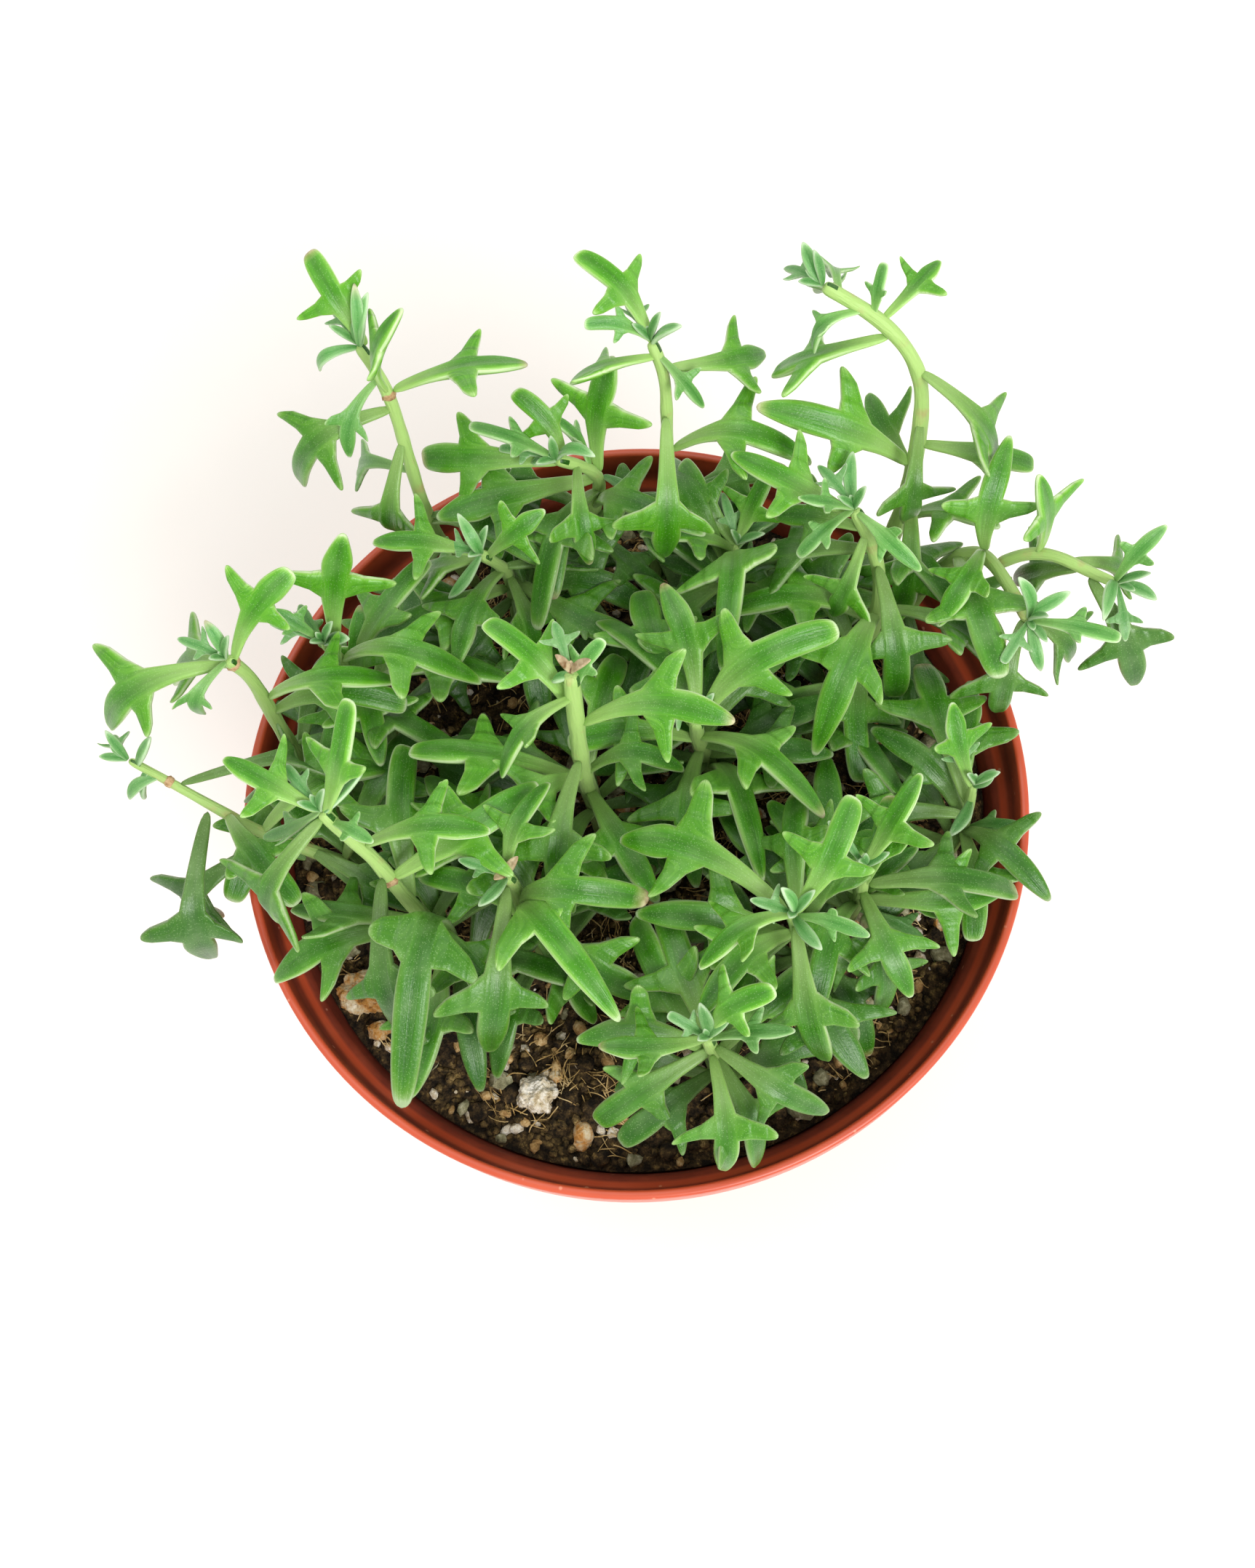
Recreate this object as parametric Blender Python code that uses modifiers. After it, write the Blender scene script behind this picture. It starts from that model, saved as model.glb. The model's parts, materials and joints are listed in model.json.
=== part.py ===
"""A potted string of dolphins: a trailing succulent in a thin plastic nursery pot.

Metres, +Z up. The origin is at the middle of the pot's flat foot. +Y is the back of the plant, +X its right.
"""
import math

import bmesh
import bpy
from mathutils import Matrix, Vector
from mathutils.bvhtree import BVHTree
from mathutils.geometry import intersect_point_line

MM = 0.001
GAP = 0.3 * MM                      # clearance between two pieces that touch

# Pot
RIM_RADIUS = 65.0 * MM              # outer radius of the lip
FOOT_RADIUS = 46.0 * MM             # outer radius of the flat foot
POT_HEIGHT = 100.0 * MM
POT_WALL = 1.5 * MM
POT_FLOOR = 2.0 * MM
COLLAR_DEPTH = 7.6 * MM             # from the lip down to the ledge inside the collar
COLLAR_STEP = 2.3 * MM              # width of the ledge
COLLAR_DRAFT = 0.4 * MM             # how much the collar narrows on its way down
LIP_ROUND = 0.4 * MM
FOOT_ROUND = 1.2 * MM
POT_SIDES = 44
DRAIN_HOLES = 8
DRAIN_RADIUS = 3.5 * MM
DRAIN_CIRCLE = 33.0 * MM            # radius of the circle that the holes lie on
DRAIN_SIDES = 12
WELD = 0.01 * MM                    # points closer than this become one

# Soil
SOIL_DROP = 12.0 * MM               # from the lip down to the soil
SOIL_TOP = POT_HEIGHT - SOIL_DROP
ROOT_DEPTH = 12.0 * MM              # how deep a stem stands in the soil
SOCKET_SIDES = 8

# Leaves: a thin petiole, a fleshy blade, and two side fins
BLADE_HALF_WIDTH = 2.4 * MM         # of a leaf of LEAF_LENGTH
BLADE_THICKNESS = 2.2 * MM
LEAF_LENGTH = 24.0 * MM
FIN_REACH = 7.6 * MM                # from the leaf's middle line to the fin's tip
YOUNG_HALF_WIDTH = 1.1 * MM
YOUNG_THICKNESS = 1.3 * MM
SMALL_WIDTH = 0.8                   # of a full leaf's width and thickness, on a small leaf
SMALL_REACH = 0.55                  # of a full leaf's fins
LEAF_MARGIN = 0.06 * MM             # kept free around a leaf, on top of half a GAP
LEAF_SLIT = 0.3 * MM                # between a stem's skin and a leaf in a node of its own, on top of GAP
TIP_SHARE = 0.985                   # from here on a leaf grows out of its stem's tip

# Stems
STEM_SIDES = 6
STEM_SPACING = 6.0 * MM             # between two rings of a stem
STEM_SCALE = 1.0                    # on every shoot's own thickness
FORK_GAP = 0.2 * MM                 # between a fork's middle line and its parent's, beyond their two radii

# Lower leaves, which follow one rule on every stem and fill the shade under the shoots
LOWER_LEAVES = 2                    # wanted on each stem that roots in the soil
LOWER_REACH = 22.0 * MM             # from the stem to the leaf's tip, seen from above
LOWER_TURN = 137.5                  # degrees from one leaf to the next
LOWER_MARGIN = 5.0 * MM             # from such a leaf's tip to the outside of the lip

# Stones in the top of the soil: place, width, depth, height, turn in degrees
STONES = {
    "pumice_left": ((-45, -30), 9.0, 6.5, 5.0, 20),
    "pumice_front_left": ((-36, -40), 6.0, 5.5, 5.0, 0),
    "pumice_front": ((-16, -47), 6.5, 6.0, 4.5, 40),
    "pumice_right": ((53, 5), 4.0, 4.0, 3.5, 0),
}

# Every place below is in millimetres: x to the right, y to the back, z above the soil.
# A leaf is its kind, how far along its stem it grows, where its tip would like to be, and how high its middle
# arches over the straight line from base to tip, as a share of that line. A fork grows from the shoot that it
# names, and has no root.
OWN = "own"                         # a full leaf, in a node of its own
JOINED = "joined"                   # a full leaf that is joined to its stem
SMALL = "small"                     # a half-grown leaf with short fins, joined
YOUNG = "young"                     # a narrow leaf without fins at a shoot's tip, joined

SHOOTS = {
    "back_left": dict(thickness=(2.6, 1.8), route=[
        (-29, 45, 0), (-33, 47, 12), (-34, 47, 26), (-35, 51, 40), (-36, 55, 49), (-38, 58, 54),
        (-40, 60, 56)],
        leaves=[
            (OWN, 0.98, (-46, 70, 66), 0.10), (OWN, 0.85, (-14, 58, 52), 0.12),
            (JOINED, 0.85, (-31, 59, 67), 0.05), (JOINED, 0.80, (-53, 48, 34), 0.30),
            (JOINED, 0.70, (-38, 46, 22), 0.35), (SMALL, 0.90, (-43, 47, 44), 0.20),
            (SMALL, 0.58, (-46, 56, 20), 0.20), (YOUNG, 0.99, (-39, 65, 64), 0.10),
            (YOUNG, 0.99, (-37, 64, 60), 0.10), (YOUNG, 0.99, (-47, 59, 50), 0.35)]),
    "back": dict(thickness=(2.6, 1.8), route=[
        (2, 37, 0), (4, 43, 10), (6, 48, 24), (7, 53, 37), (7, 56, 45), (7, 59, 50), (5, 61, 53)],
        leaves=[
            (OWN, 0.78, (6, 37, 26), 0.35), (OWN, 0.64, (30, 47, 38), 0.25),
            (JOINED, 0.99, (-6, 71, 62), 0.10), (JOINED, 0.95, (-8, 58, 46), 0.20),
            (JOINED, 0.91, (23, 66, 40), 0.10), (SMALL, 1.00, (-5, 61, 58), 0.10),
            (SMALL, 0.96, (13, 53, 46), 0.10), (YOUNG, 0.99, (10, 59, 60), 0.10)]),
    "back_right": dict(thickness=(3.2, 2.0), route=[
        (40, 35, 0), (43, 42, 12), (46, 47, 25), (47, 51, 38), (47, 55, 47), (45, 57, 53), (41, 60, 57),
        (36, 62, 60), (31, 64, 62)],
        leaves=[
            (OWN, 0.82, (24, 60, 44), 0.12), (OWN, 0.47, (21, 53, 46), 0.15),
            (JOINED, 0.72, (58, 46, 36), 0.35), (JOINED, 0.59, (46, 42, 28), 0.40),
            (JOINED, 0.86, (49, 69, 60), 0.10), (JOINED, 0.45, (40, 64, 30), 0.10),
            (JOINED, 0.53, (66, 49, 32), 0.15), (JOINED, 0.29, (60, 38, 32), 0.15),
            (SMALL, 0.96, (33, 72, 52), 0.20), (SMALL, 0.88, (40, 65, 66), 0.10),
            (SMALL, 0.90, (30, 58, 48), 0.40), (SMALL, 0.93, (31, 72, 48), 0.10),
            (YOUNG, 1.00, (28, 69, 66), 0.10)]),
    "right": dict(thickness=(3.0, 2.0), route=[
        (45, 31, 0), (47, 34, 11), (52, 37, 21), (57, 37, 27), (60, 30, 31), (62, 24, 33), (63, 21, 34)],
        leaves=[
            (OWN, 0.97, (60, 12, 18), 0.40), (OWN, 0.66, (60, 47, 44), 0.15),
            (JOINED, 0.29, (61, 22, 20), 0.30), (JOINED, 0.64, (49, 21, 32), 0.30),
            (JOINED, 0.99, (71, 19, 22), 0.20), (SMALL, 1.00, (76, 16, 38), 0.10),
            (YOUNG, 0.99, (60, 24, 44), 0.10), (YOUNG, 1.00, (65, 14, 30), 0.20),
            (YOUNG, 0.98, (69, 24, 38), 0.10)]),
    "right_fork": dict(thickness=(2.2, 1.6), fork="right", route=[
        (60, 34, 27), (63, 34, 31), (66, 34, 33), (70, 31, 34), (74, 28, 34), (77, 27, 34)],
        leaves=[
            (OWN, 0.79, (82, 16, 18), 0.20), (JOINED, 0.37, (63, 38, 50), 0.10),
            (JOINED, 0.62, (81, 32, 22), 0.20), (JOINED, 0.73, (64, 35, 18), 0.10),
            (SMALL, 0.98, (83, 32, 44), 0.15), (YOUNG, 1.00, (83, 24, 34), 0.10),
            (YOUNG, 0.98, (73, 18, 38), 0.20)]),
    "inner_right": dict(thickness=(2.8, 2.0), route=[
        (30, 15, 0), (33, 18, 6), (37, 21, 13), (40, 25, 20), (41, 31, 28), (39, 34, 36), (36, 37, 42)],
        leaves=[
            (OWN, 0.97, (17, 46, 42), 0.12), (OWN, 0.77, (43, 14, 20), 0.35),
            (JOINED, 0.55, (33, 1, 24), 0.40), (JOINED, 0.90, (33, 26, 26), 0.20),
            (JOINED, 0.82, (22, 40, 18), 0.20), (JOINED, 0.91, (24, 41, 32), 0.10),
            (SMALL, 1.00, (27, 36, 48), 0.10), (SMALL, 1.00, (27, 29, 42), 0.20),
            (SMALL, 0.99, (46, 27, 40), 0.15), (YOUNG, 0.99, (36, 46, 44), 0.10)]),
    "upper_middle": dict(thickness=(2.6, 1.8), route=[
        (-10, 41, 0), (-9, 46, 10), (-6, 49, 20), (-4, 51, 28), (-7, 50, 34), (-11, 49, 38)],
        leaves=[
            (OWN, 0.94, (-34, 54, 30), 0.15), (OWN, 0.70, (-31, 42, 34), 0.15),
            (OWN, 0.49, (15, 36, 18), 0.30),
            (JOINED, 0.95, (-17, 57, 46), 0.10), (JOINED, 0.74, (-1, 61, 52), 0.05),
            (JOINED, 0.89, (-6, 35, 28), 0.40), (SMALL, 0.99, (-24, 51, 46), 0.10),
            (SMALL, 0.80, (-12, 55, 42), 0.10), (YOUNG, 0.71, (2, 46, 24), 0.20),
            (YOUNG, 0.99, (-4, 46, 44), 0.20), (YOUNG, 0.99, (-15, 49, 34), 0.20)]),
    "middle_left": dict(thickness=(2.4, 1.8), route=[
        (-19, 31, 0), (-20, 34, 9), (-20, 37, 20), (-21, 35, 29), (-23, 34, 35)],
        leaves=[
            (OWN, 1.00, (-40, 35, 38), 0.15), (OWN, 0.48, (-42, 23, 26), 0.20),
            (JOINED, 0.94, (-12, 38, 42), 0.15), (JOINED, 0.62, (-16, 22, 14), 0.35),
            (JOINED, 0.96, (-35, 35, 20), 0.10), (YOUNG, 1.00, (-26, 38, 42), 0.10),
            (YOUNG, 1.00, (-29, 29, 32), 0.10)]),
    "centre": dict(thickness=(3.0, 2.4), route=[
        (-5, -4, 0), (-6, -1, 10), (-7, 0, 24), (-7, 2, 37), (-7, 5, 46), (-7, 7, 51)],
        leaves=[
            (OWN, 0.84, (-20, 16, 50), 0.15), (OWN, 0.61, (-9, -22, 22), 0.35),
            (OWN, 0.78, (17, 0, 48), 0.15),
            (OWN, 0.42, (-34, 2, 32), 0.15), (JOINED, 0.90, (-18, -6, 42), 0.30),
            (JOINED, 0.47, (9, 0, 26), 0.40), (SMALL, 0.88, (-2, 11, 54), 0.10),
            (YOUNG, 0.99, (-10, 7, 48), 0.10)]),
    "left": dict(thickness=(2.8, 2.0), route=[
        (-25, -32, 0), (-28, -28, 7), (-31, -23, 17), (-35, -20, 28), (-38, -16, 36), (-42, -14, 42),
        (-44, -12, 46)],
        leaves=[
            (OWN, 0.99, (-58, -5, 50), 0.15), (OWN, 0.70, (-33, -41, 18), 0.30),
            (OWN, 0.82, (-19, -15, 44), 0.15),
            (JOINED, 0.98, (-53, -24, 28), 0.30), (JOINED, 0.98, (-38, 1, 58), 0.10),
            (JOINED, 0.66, (-13, -5, 36), 0.12), (JOINED, 0.36, (-57, -31, 16), 0.25),
            (JOINED, 0.14, (-34, -53, 16), 0.50), (SMALL, 1.00, (-55, -13, 42), 0.10),
            (SMALL, 0.95, (-36, -17, 46), 0.15), (YOUNG, 0.99, (-37, -7, 50), 0.10)]),
    "far_left": dict(thickness=(2.8, 1.2), route=[
        (-37, -15, 0), (-43, -12, 9), (-50, -10, 16), (-57, -9, 22), (-64, -6, 27), (-70, -3, 30),
        (-74, -1, 32), (-78, 1, 33)],
        leaves=[
            (OWN, 0.74, (-68, -26, 12), 0.45), (JOINED, 0.85, (-64, -1, 16), 1.10),
            (JOINED, 0.53, (-69, -17, 6), 0.60), (YOUNG, 0.94, (-77, -3, 26), 0.20),
            (YOUNG, 0.97, (-73, 3, 38), 0.10), (YOUNG, 0.90, (-79, -4, 28), 0.20)]),
    "left_up": dict(thickness=(3.0, 2.0), route=[
        (-50, 0, 0), (-53, 4, 8), (-56, 8, 18), (-58, 12, 29), (-59, 14, 37), (-61, 14, 42)],
        leaves=[
            (OWN, 0.97, (-83, 8, 28), 0.25), (OWN, 0.71, (-36, 14, 32), 0.45),
            (JOINED, 0.96, (-49, 24, 52), 0.10), (JOINED, 0.94, (-75, 18, 24), 0.20),
            (SMALL, 0.99, (-66, 8, 32), 0.20), (YOUNG, 1.00, (-63, 18, 48), 0.10)]),
    "small_left": dict(thickness=(2.2, 1.6), route=[
        (-39, 14, 0), (-42, 16, 9), (-45, 19, 20), (-47, 20, 28), (-48, 20, 33)],
        leaves=[
            (OWN, 0.89, (-42, 31, 50), 0.05), (JOINED, 0.57, (-43, 28, 34), 0.10),
            (JOINED, 0.77, (-50, 5, 18), 0.20), (SMALL, 0.83, (-54, 30, 26), 0.10),
            (SMALL, 1.00, (-55, 23, 40), 0.10), (YOUNG, 0.99, (-43, 19, 38), 0.10)]),
    "lower_middle": dict(thickness=(2.6, 2.0), route=[
        (-13, -28, 0), (-15, -24, 9), (-17, -21, 19), (-17, -19, 28), (-18, -19, 34)],
        leaves=[
            (OWN, 0.96, (-25, -42, 18), 0.35), (JOINED, 0.51, (-6, -37, 10), 0.30),
            (JOINED, 0.73, (7, -26, 20), 0.15), (JOINED, 0.99, (-13, -5, 36), 0.10),
            (JOINED, 0.92, (-30, -4, 20), 0.10), (YOUNG, 0.99, (-22, -24, 34), 0.10)]),
    "lower_right": dict(thickness=(2.6, 2.0), route=[
        (29, -28, 0), (27, -26, 12), (26, -26, 25), (25, -26, 36)],
        leaves=[
            (OWN, 0.97, (-1, -13, 32), 0.15), (OWN, 0.93, (30, -45, 20), 0.30),
            (JOINED, 0.99, (34, -11, 46), 0.15), (JOINED, 1.00, (11, -35, 40), 0.15),
            (JOINED, 0.70, (16, -35, 18), 0.20), (JOINED, 0.58, (38, -31, 14), 0.25),
            (SMALL, 0.97, (36, -30, 38), 0.15), (YOUNG, 0.97, (29, -32, 38), 0.10),
            (YOUNG, 1.00, (23, -24, 44), 0.10)]),
    "bottom": dict(thickness=(2.6, 2.0), route=[
        (14, -48, 0), (14, -45, 10), (13, -44, 20), (12, -43, 29)],
        leaves=[
            (OWN, 0.88, (30, -53, 20), 0.25), (OWN, 0.81, (14, -61, 16), 0.40),
            (JOINED, 0.97, (22, -38, 40), 0.15), (JOINED, 1.00, (-4, -45, 34), 0.15),
            (JOINED, 0.70, (19, -60, 9), 0.30), (JOINED, 0.79, (-3, -57, 15), 0.20),
            (SMALL, 0.98, (25, -43, 32), 0.15), (YOUNG, 1.00, (11, -39, 36), 0.10)]),
    "low_right": dict(thickness=(2.4, 1.8), route=[
        (34, -22, 0), (35, -20, 11), (36, -20, 23), (36, -18, 33)],
        leaves=[
            (OWN, 0.82, (60, -20, 24), 0.15), (JOINED, 1.00, (44, -7, 44), 0.15),
            (JOINED, 0.76, (44, -36, 26), 0.30), (JOINED, 0.70, (39, -37, 16), 0.25),
            (JOINED, 0.52, (45, -13, 26), 0.15), (JOINED, 0.52, (51, -15, 18), 0.15),
            (SMALL, 0.47, (47, -26, 12), 0.20)]),
    "right_edge": dict(thickness=(2.0, 1.4), route=[
        (52, -8, 0), (54, -6, 9), (54, -5, 19), (54, -3, 26)],
        leaves=[
            (JOINED, 0.95, (50, 7, 36), 0.10), (JOINED, 0.40, (66, -20, 18), 0.30),
            (SMALL, 0.36, (63, -8, 18), 0.15), (YOUNG, 0.98, (57, -2, 30), 0.10),
            (YOUNG, 0.83, (50, -11, 24), 0.10)]),
    "centre_right": dict(thickness=(2.8, 2.2), route=[
        (14, 5, 0), (13, 6, 10), (11, 7, 21), (11, 7, 30)],
        leaves=[
            (OWN, 0.95, (33, 17, 42), 0.20), (JOINED, 0.62, (26, 0, 14), 0.30),
            (JOINED, 1.00, (6, 27, 38), 0.15), (JOINED, 0.80, (2, 32, 24), 0.20)]),
    "back_middle": dict(thickness=(2.0, 1.6), route=[
        (15, 34, 0), (16, 38, 11), (18, 41, 22)],
        leaves=[
            (JOINED, 1.00, (24, 50, 32), 0.10), (JOINED, 0.92, (2, 39, 20), 0.15),
            (JOINED, 0.97, (9, 54, 26), 0.10), (JOINED, 0.51, (34, 36, 10), 0.40),
            (SMALL, 0.91, (25, 45, 20), 0.15)]),
}

COLOURS = {                         # sRGB hex, roughness
    "terracotta_plastic": ("C95A38", 0.5),
    "potting_soil": ("33261B", 0.95),
    "pumice": ("B9AE95", 0.9),
    "stem_skin": ("9CC56B", 0.45),
    "leaf_skin": ("5E9E3C", 0.4),
}


def linear(hex_colour):
    """Turn an sRGB hex colour into the linear values that Blender works in."""
    channels = [int(hex_colour[i:i + 2], 16) / 255 for i in (0, 2, 4)]
    return [c / 12.92 if c <= 0.04045 else ((c + 0.055) / 1.055) ** 2.4 for c in channels] + [1.0]


def material(name):
    """A plain Principled material from COLOURS, made once."""
    found = bpy.data.materials.get(name)
    if found:
        return found
    made = bpy.data.materials.new(name)
    made.use_nodes = True
    shader = made.node_tree.nodes["Principled BSDF"]
    shader.inputs["Base Color"].default_value = linear(COLOURS[name][0])
    shader.inputs["Roughness"].default_value = COLOURS[name][1]
    return made


def add_object(name, mesh, finish, collection):
    """Link a mesh as a named object with its finish."""
    obj = bpy.data.objects.new(name, mesh)
    collection.objects.link(obj)
    mesh.materials.clear()
    mesh.materials.append(material(finish))
    return obj


def mesh_from(bm, name):
    """Close a bmesh into a mesh whose faces point outwards."""
    bmesh.ops.recalc_face_normals(bm, faces=bm.faces)
    mesh = bpy.data.meshes.new(name)
    bm.to_mesh(mesh)
    bm.free()
    return mesh


def evaluated_mesh(obj):
    """The object's mesh with its modifiers or its curve bevel applied, with caps welded."""
    bpy.context.view_layer.update()
    evaluated = obj.evaluated_get(bpy.context.evaluated_depsgraph_get())
    mesh = bpy.data.meshes.new_from_object(evaluated)
    bm = bmesh.new()
    bm.from_mesh(mesh)
    bmesh.ops.remove_doubles(bm, verts=bm.verts, dist=WELD)
    bmesh.ops.recalc_face_normals(bm, faces=bm.faces)
    bm.to_mesh(mesh)
    bm.free()
    return mesh


def wall_radius(height):
    """Inner radius of the pot's tapering wall, below the ledge."""
    ledge = POT_HEIGHT - COLLAR_DEPTH
    top = RIM_RADIUS - POT_WALL - COLLAR_DRAFT - COLLAR_STEP
    bottom = FOOT_RADIUS - POT_WALL
    return bottom + (top - bottom) * (height - POT_FLOOR) / (ledge - POT_FLOOR)


def cut(obj, cutters):
    """Subtract every object of a collection."""
    boolean = obj.modifiers.new("holes", "BOOLEAN")
    boolean.operation = "DIFFERENCE"
    boolean.operand_type = "COLLECTION"
    boolean.collection = cutters


def add_cutter(name, radius, bottom, top, centre, collection, sides):
    """An upright cylinder that only cuts."""
    bm = bmesh.new()
    place = Matrix.Translation((centre[0], centre[1], (bottom + top) / 2))
    bmesh.ops.create_cone(bm, cap_ends=True, segments=sides, radius1=radius, radius2=radius,
                          depth=top - bottom, matrix=place)
    obj = bpy.data.objects.new(name, mesh_from(bm, name))
    collection.objects.link(obj)
    obj.hide_render = True
    obj.display_type = "WIRE"
    return obj


def build_pot(collection, cutters):
    """The pot's section, from the middle of its floor over the lip and down to the middle of its foot."""
    ledge = POT_HEIGHT - COLLAR_DEPTH
    collar_in = RIM_RADIUS - POT_WALL
    step_out = wall_radius(ledge) + POT_WALL
    section = [
        (0, 0), (FOOT_RADIUS - FOOT_ROUND, 0), (FOOT_RADIUS, FOOT_ROUND), (step_out, ledge - POT_WALL),
        (RIM_RADIUS - COLLAR_DRAFT, ledge - POT_WALL), (RIM_RADIUS, POT_HEIGHT - LIP_ROUND),
        (RIM_RADIUS - LIP_ROUND, POT_HEIGHT), (collar_in + LIP_ROUND, POT_HEIGHT),
        (collar_in, POT_HEIGHT - LIP_ROUND), (collar_in - COLLAR_DRAFT, ledge),
        (wall_radius(ledge), ledge), (wall_radius(POT_FLOOR), POT_FLOOR), (0, POT_FLOOR)]
    mesh = bpy.data.meshes.new("pot")
    points = [(radius, 0, height) for radius, height in reversed(section)]
    mesh.from_pydata(points, [(i, i + 1) for i in range(len(points) - 1)], [])
    pot = add_object("pot", mesh, "terracotta_plastic", collection)
    screw = pot.modifiers.new("turn", "SCREW")
    screw.steps = POT_SIDES
    screw.render_steps = POT_SIDES
    screw.use_merge_vertices = True
    screw.merge_threshold = WELD
    screw.use_normal_calculate = True
    for i in range(DRAIN_HOLES):
        angle = 2 * math.pi * (i + 0.5) / DRAIN_HOLES
        centre = (DRAIN_CIRCLE * math.cos(angle), DRAIN_CIRCLE * math.sin(angle))
        add_cutter(f"drain_cutter_{i}", DRAIN_RADIUS, -POT_FLOOR, 2 * POT_FLOOR, centre, cutters, DRAIN_SIDES)
    cut(pot, cutters)
    return pot


def build_soil(collection, cutters):
    """A body of soil that follows the pot's wall, with a socket for each stem."""
    bottom = POT_FLOOR + GAP
    bm = bmesh.new()
    bmesh.ops.create_cone(
        bm, cap_ends=True, segments=POT_SIDES, radius1=wall_radius(bottom) - 2 * GAP,
        radius2=wall_radius(SOIL_TOP) - 2 * GAP, depth=SOIL_TOP - bottom,
        matrix=Matrix.Translation((0, 0, (SOIL_TOP + bottom) / 2)))
    soil = add_object("soil", mesh_from(bm, "soil"), "potting_soil", collection)
    for name, shoot in SHOOTS.items():
        if shoot.get("fork"):
            continue
        foot = shoot["route"][0]
        radius = (stem_radius(shoot, 0) + GAP) / math.cos(math.pi / SOCKET_SIDES)
        add_cutter(f"socket_{name}", radius, SOIL_TOP - ROOT_DEPTH, SOIL_TOP + GAP,
                   (foot[0] * MM, foot[1] * MM), cutters, SOCKET_SIDES)
    cut(soil, cutters)
    return soil


def build_stone(name, spec, collection):
    """A lump of pumice whose lower half is cut off flat where it lies in the soil."""
    (x, y), width, depth, height, turn = spec
    bm = bmesh.new()
    bmesh.ops.create_icosphere(bm, subdivisions=2, radius=1)
    for vert in bm.verts:
        across = math.sin(5.1 * vert.co.x + 1.3 * width) * math.cos(4.3 * vert.co.y - depth)
        vert.co *= 1 + 0.12 * across * math.sin(3.7 * vert.co.z)
    bmesh.ops.bisect_plane(bm, geom=bm.verts[:] + bm.edges[:] + bm.faces[:], plane_co=(0, 0, -0.2),
                           plane_no=(0, 0, -1), clear_outer=True)
    rim = [edge for edge in bm.edges if edge.is_boundary]
    bmesh.ops.contextual_create(bm, geom=rim)
    lowest = min(vert.co.z for vert in bm.verts)
    size = Matrix.Diagonal((width / 2 * MM, depth / 2 * MM, height * MM / (1 - lowest), 1))
    lift = SOIL_TOP + GAP - lowest * height * MM / (1 - lowest)
    place = Matrix.Translation((x * MM, y * MM, lift)) @ Matrix.Rotation(math.radians(turn), 4, "Z")
    bmesh.ops.transform(bm, matrix=place @ size, verts=bm.verts)
    bmesh.ops.triangulate(bm, faces=bm.faces)
    return add_object(name, mesh_from(bm, name), "pumice", collection)


def above_soil(point):
    """A place of SHOOTS in metres."""
    return Vector((point[0] * MM, point[1] * MM, SOIL_TOP + point[2] * MM))


def catmull_rom(a, b, c, d, t):
    """The point at t between b and c on a smooth curve through a, b, c and d."""
    bend = (2 * a - 5 * b + 4 * c - d) * t ** 2
    return 0.5 * (2 * b + (c - a) * t + bend + (3 * b - a - 3 * c + d) * t ** 3)


def off_parent(start, shoot):
    """A fork's first point, moved straight out from its parent's line until the two stems just miss."""
    parent = SHOOTS[shoot["fork"]]
    line = stem_line(parent)
    feet = []
    for i in range(len(line) - 1):
        foot, share = intersect_point_line(start, line[i], line[i + 1])
        share = min(1.0, max(0.0, share))
        foot = line[i].lerp(line[i + 1], share)
        feet.append(((start - foot).length, foot, (i + share) / (len(line) - 1)))
    _, foot, along = min(feet, key=lambda entry: entry[0])
    clear = stem_radius(parent, along) + stem_radius(shoot, 0) + FORK_GAP
    return foot + (start - foot).normalized() * clear


def stem_line(shoot):
    """The middle line of a stem above its root, as evenly spaced points on a smooth curve."""
    guide = [above_soil(point) for point in shoot["route"]]
    if shoot.get("fork"):
        guide[0] = off_parent(guide[0], shoot)
    else:
        guide[0].z += MM
    before = 2 * guide[0] - guide[1]
    after = 2 * guide[-1] - guide[-2]
    padded = [before] + guide + [after]
    fine = []
    for i in range(len(guide) - 1):
        fine += [catmull_rom(*padded[i:i + 4], step / 8) for step in range(8)]
    fine.append(guide[-1])
    lengths = [0.0]
    for a, b in zip(fine, fine[1:]):
        lengths.append(lengths[-1] + (b - a).length)
    count = max(4, round(lengths[-1] / STEM_SPACING))
    line = []
    for k in range(count + 1):
        want = lengths[-1] * k / count
        i = min(sum(1 for length in lengths[1:] if length < want), len(fine) - 2)
        share = (want - lengths[i]) / (lengths[i + 1] - lengths[i])
        line.append(fine[i].lerp(fine[i + 1], share))
    return line


def point_on(line, along):
    """The place and direction at a share of an evenly spaced line."""
    where = along * (len(line) - 1)
    i = min(int(where), len(line) - 2)
    return line[i].lerp(line[i + 1], where - i), (line[i + 1] - line[i]).normalized()


def stem_radius(shoot, along):
    """Half the stem's thickness at a share of its length."""
    thick, thin = shoot["thickness"]
    return (thick + (thin - thick) * along) * MM / 2 * STEM_SCALE


def build_stem(name, shoot, line):
    """The stem as a bevelled curve, made a mesh so that its leaves can be joined to it."""
    points = list(line)
    if not shoot.get("fork"):
        points.insert(0, Vector((line[0].x, line[0].y, SOIL_TOP - ROOT_DEPTH + GAP)))
    curve = bpy.data.curves.new(name, "CURVE")
    curve.dimensions = "3D"
    curve.bevel_depth = 1.0
    curve.bevel_resolution = STEM_SIDES // 2 - 2
    curve.use_fill_caps = True
    spline = curve.splines.new("POLY")
    spline.points.add(len(points) - 1)
    for i, point in enumerate(points):
        along = max(0.0, i - (len(points) - len(line))) / (len(line) - 1)
        spline.points[i].co = (*point, 1)
        spline.points[i].radius = stem_radius(shoot, along)
    guide = bpy.data.objects.new(name + "_curve", curve)
    bpy.context.scene.collection.objects.link(guide)
    mesh = evaluated_mesh(guide)
    bpy.data.objects.remove(guide)
    return mesh


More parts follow.
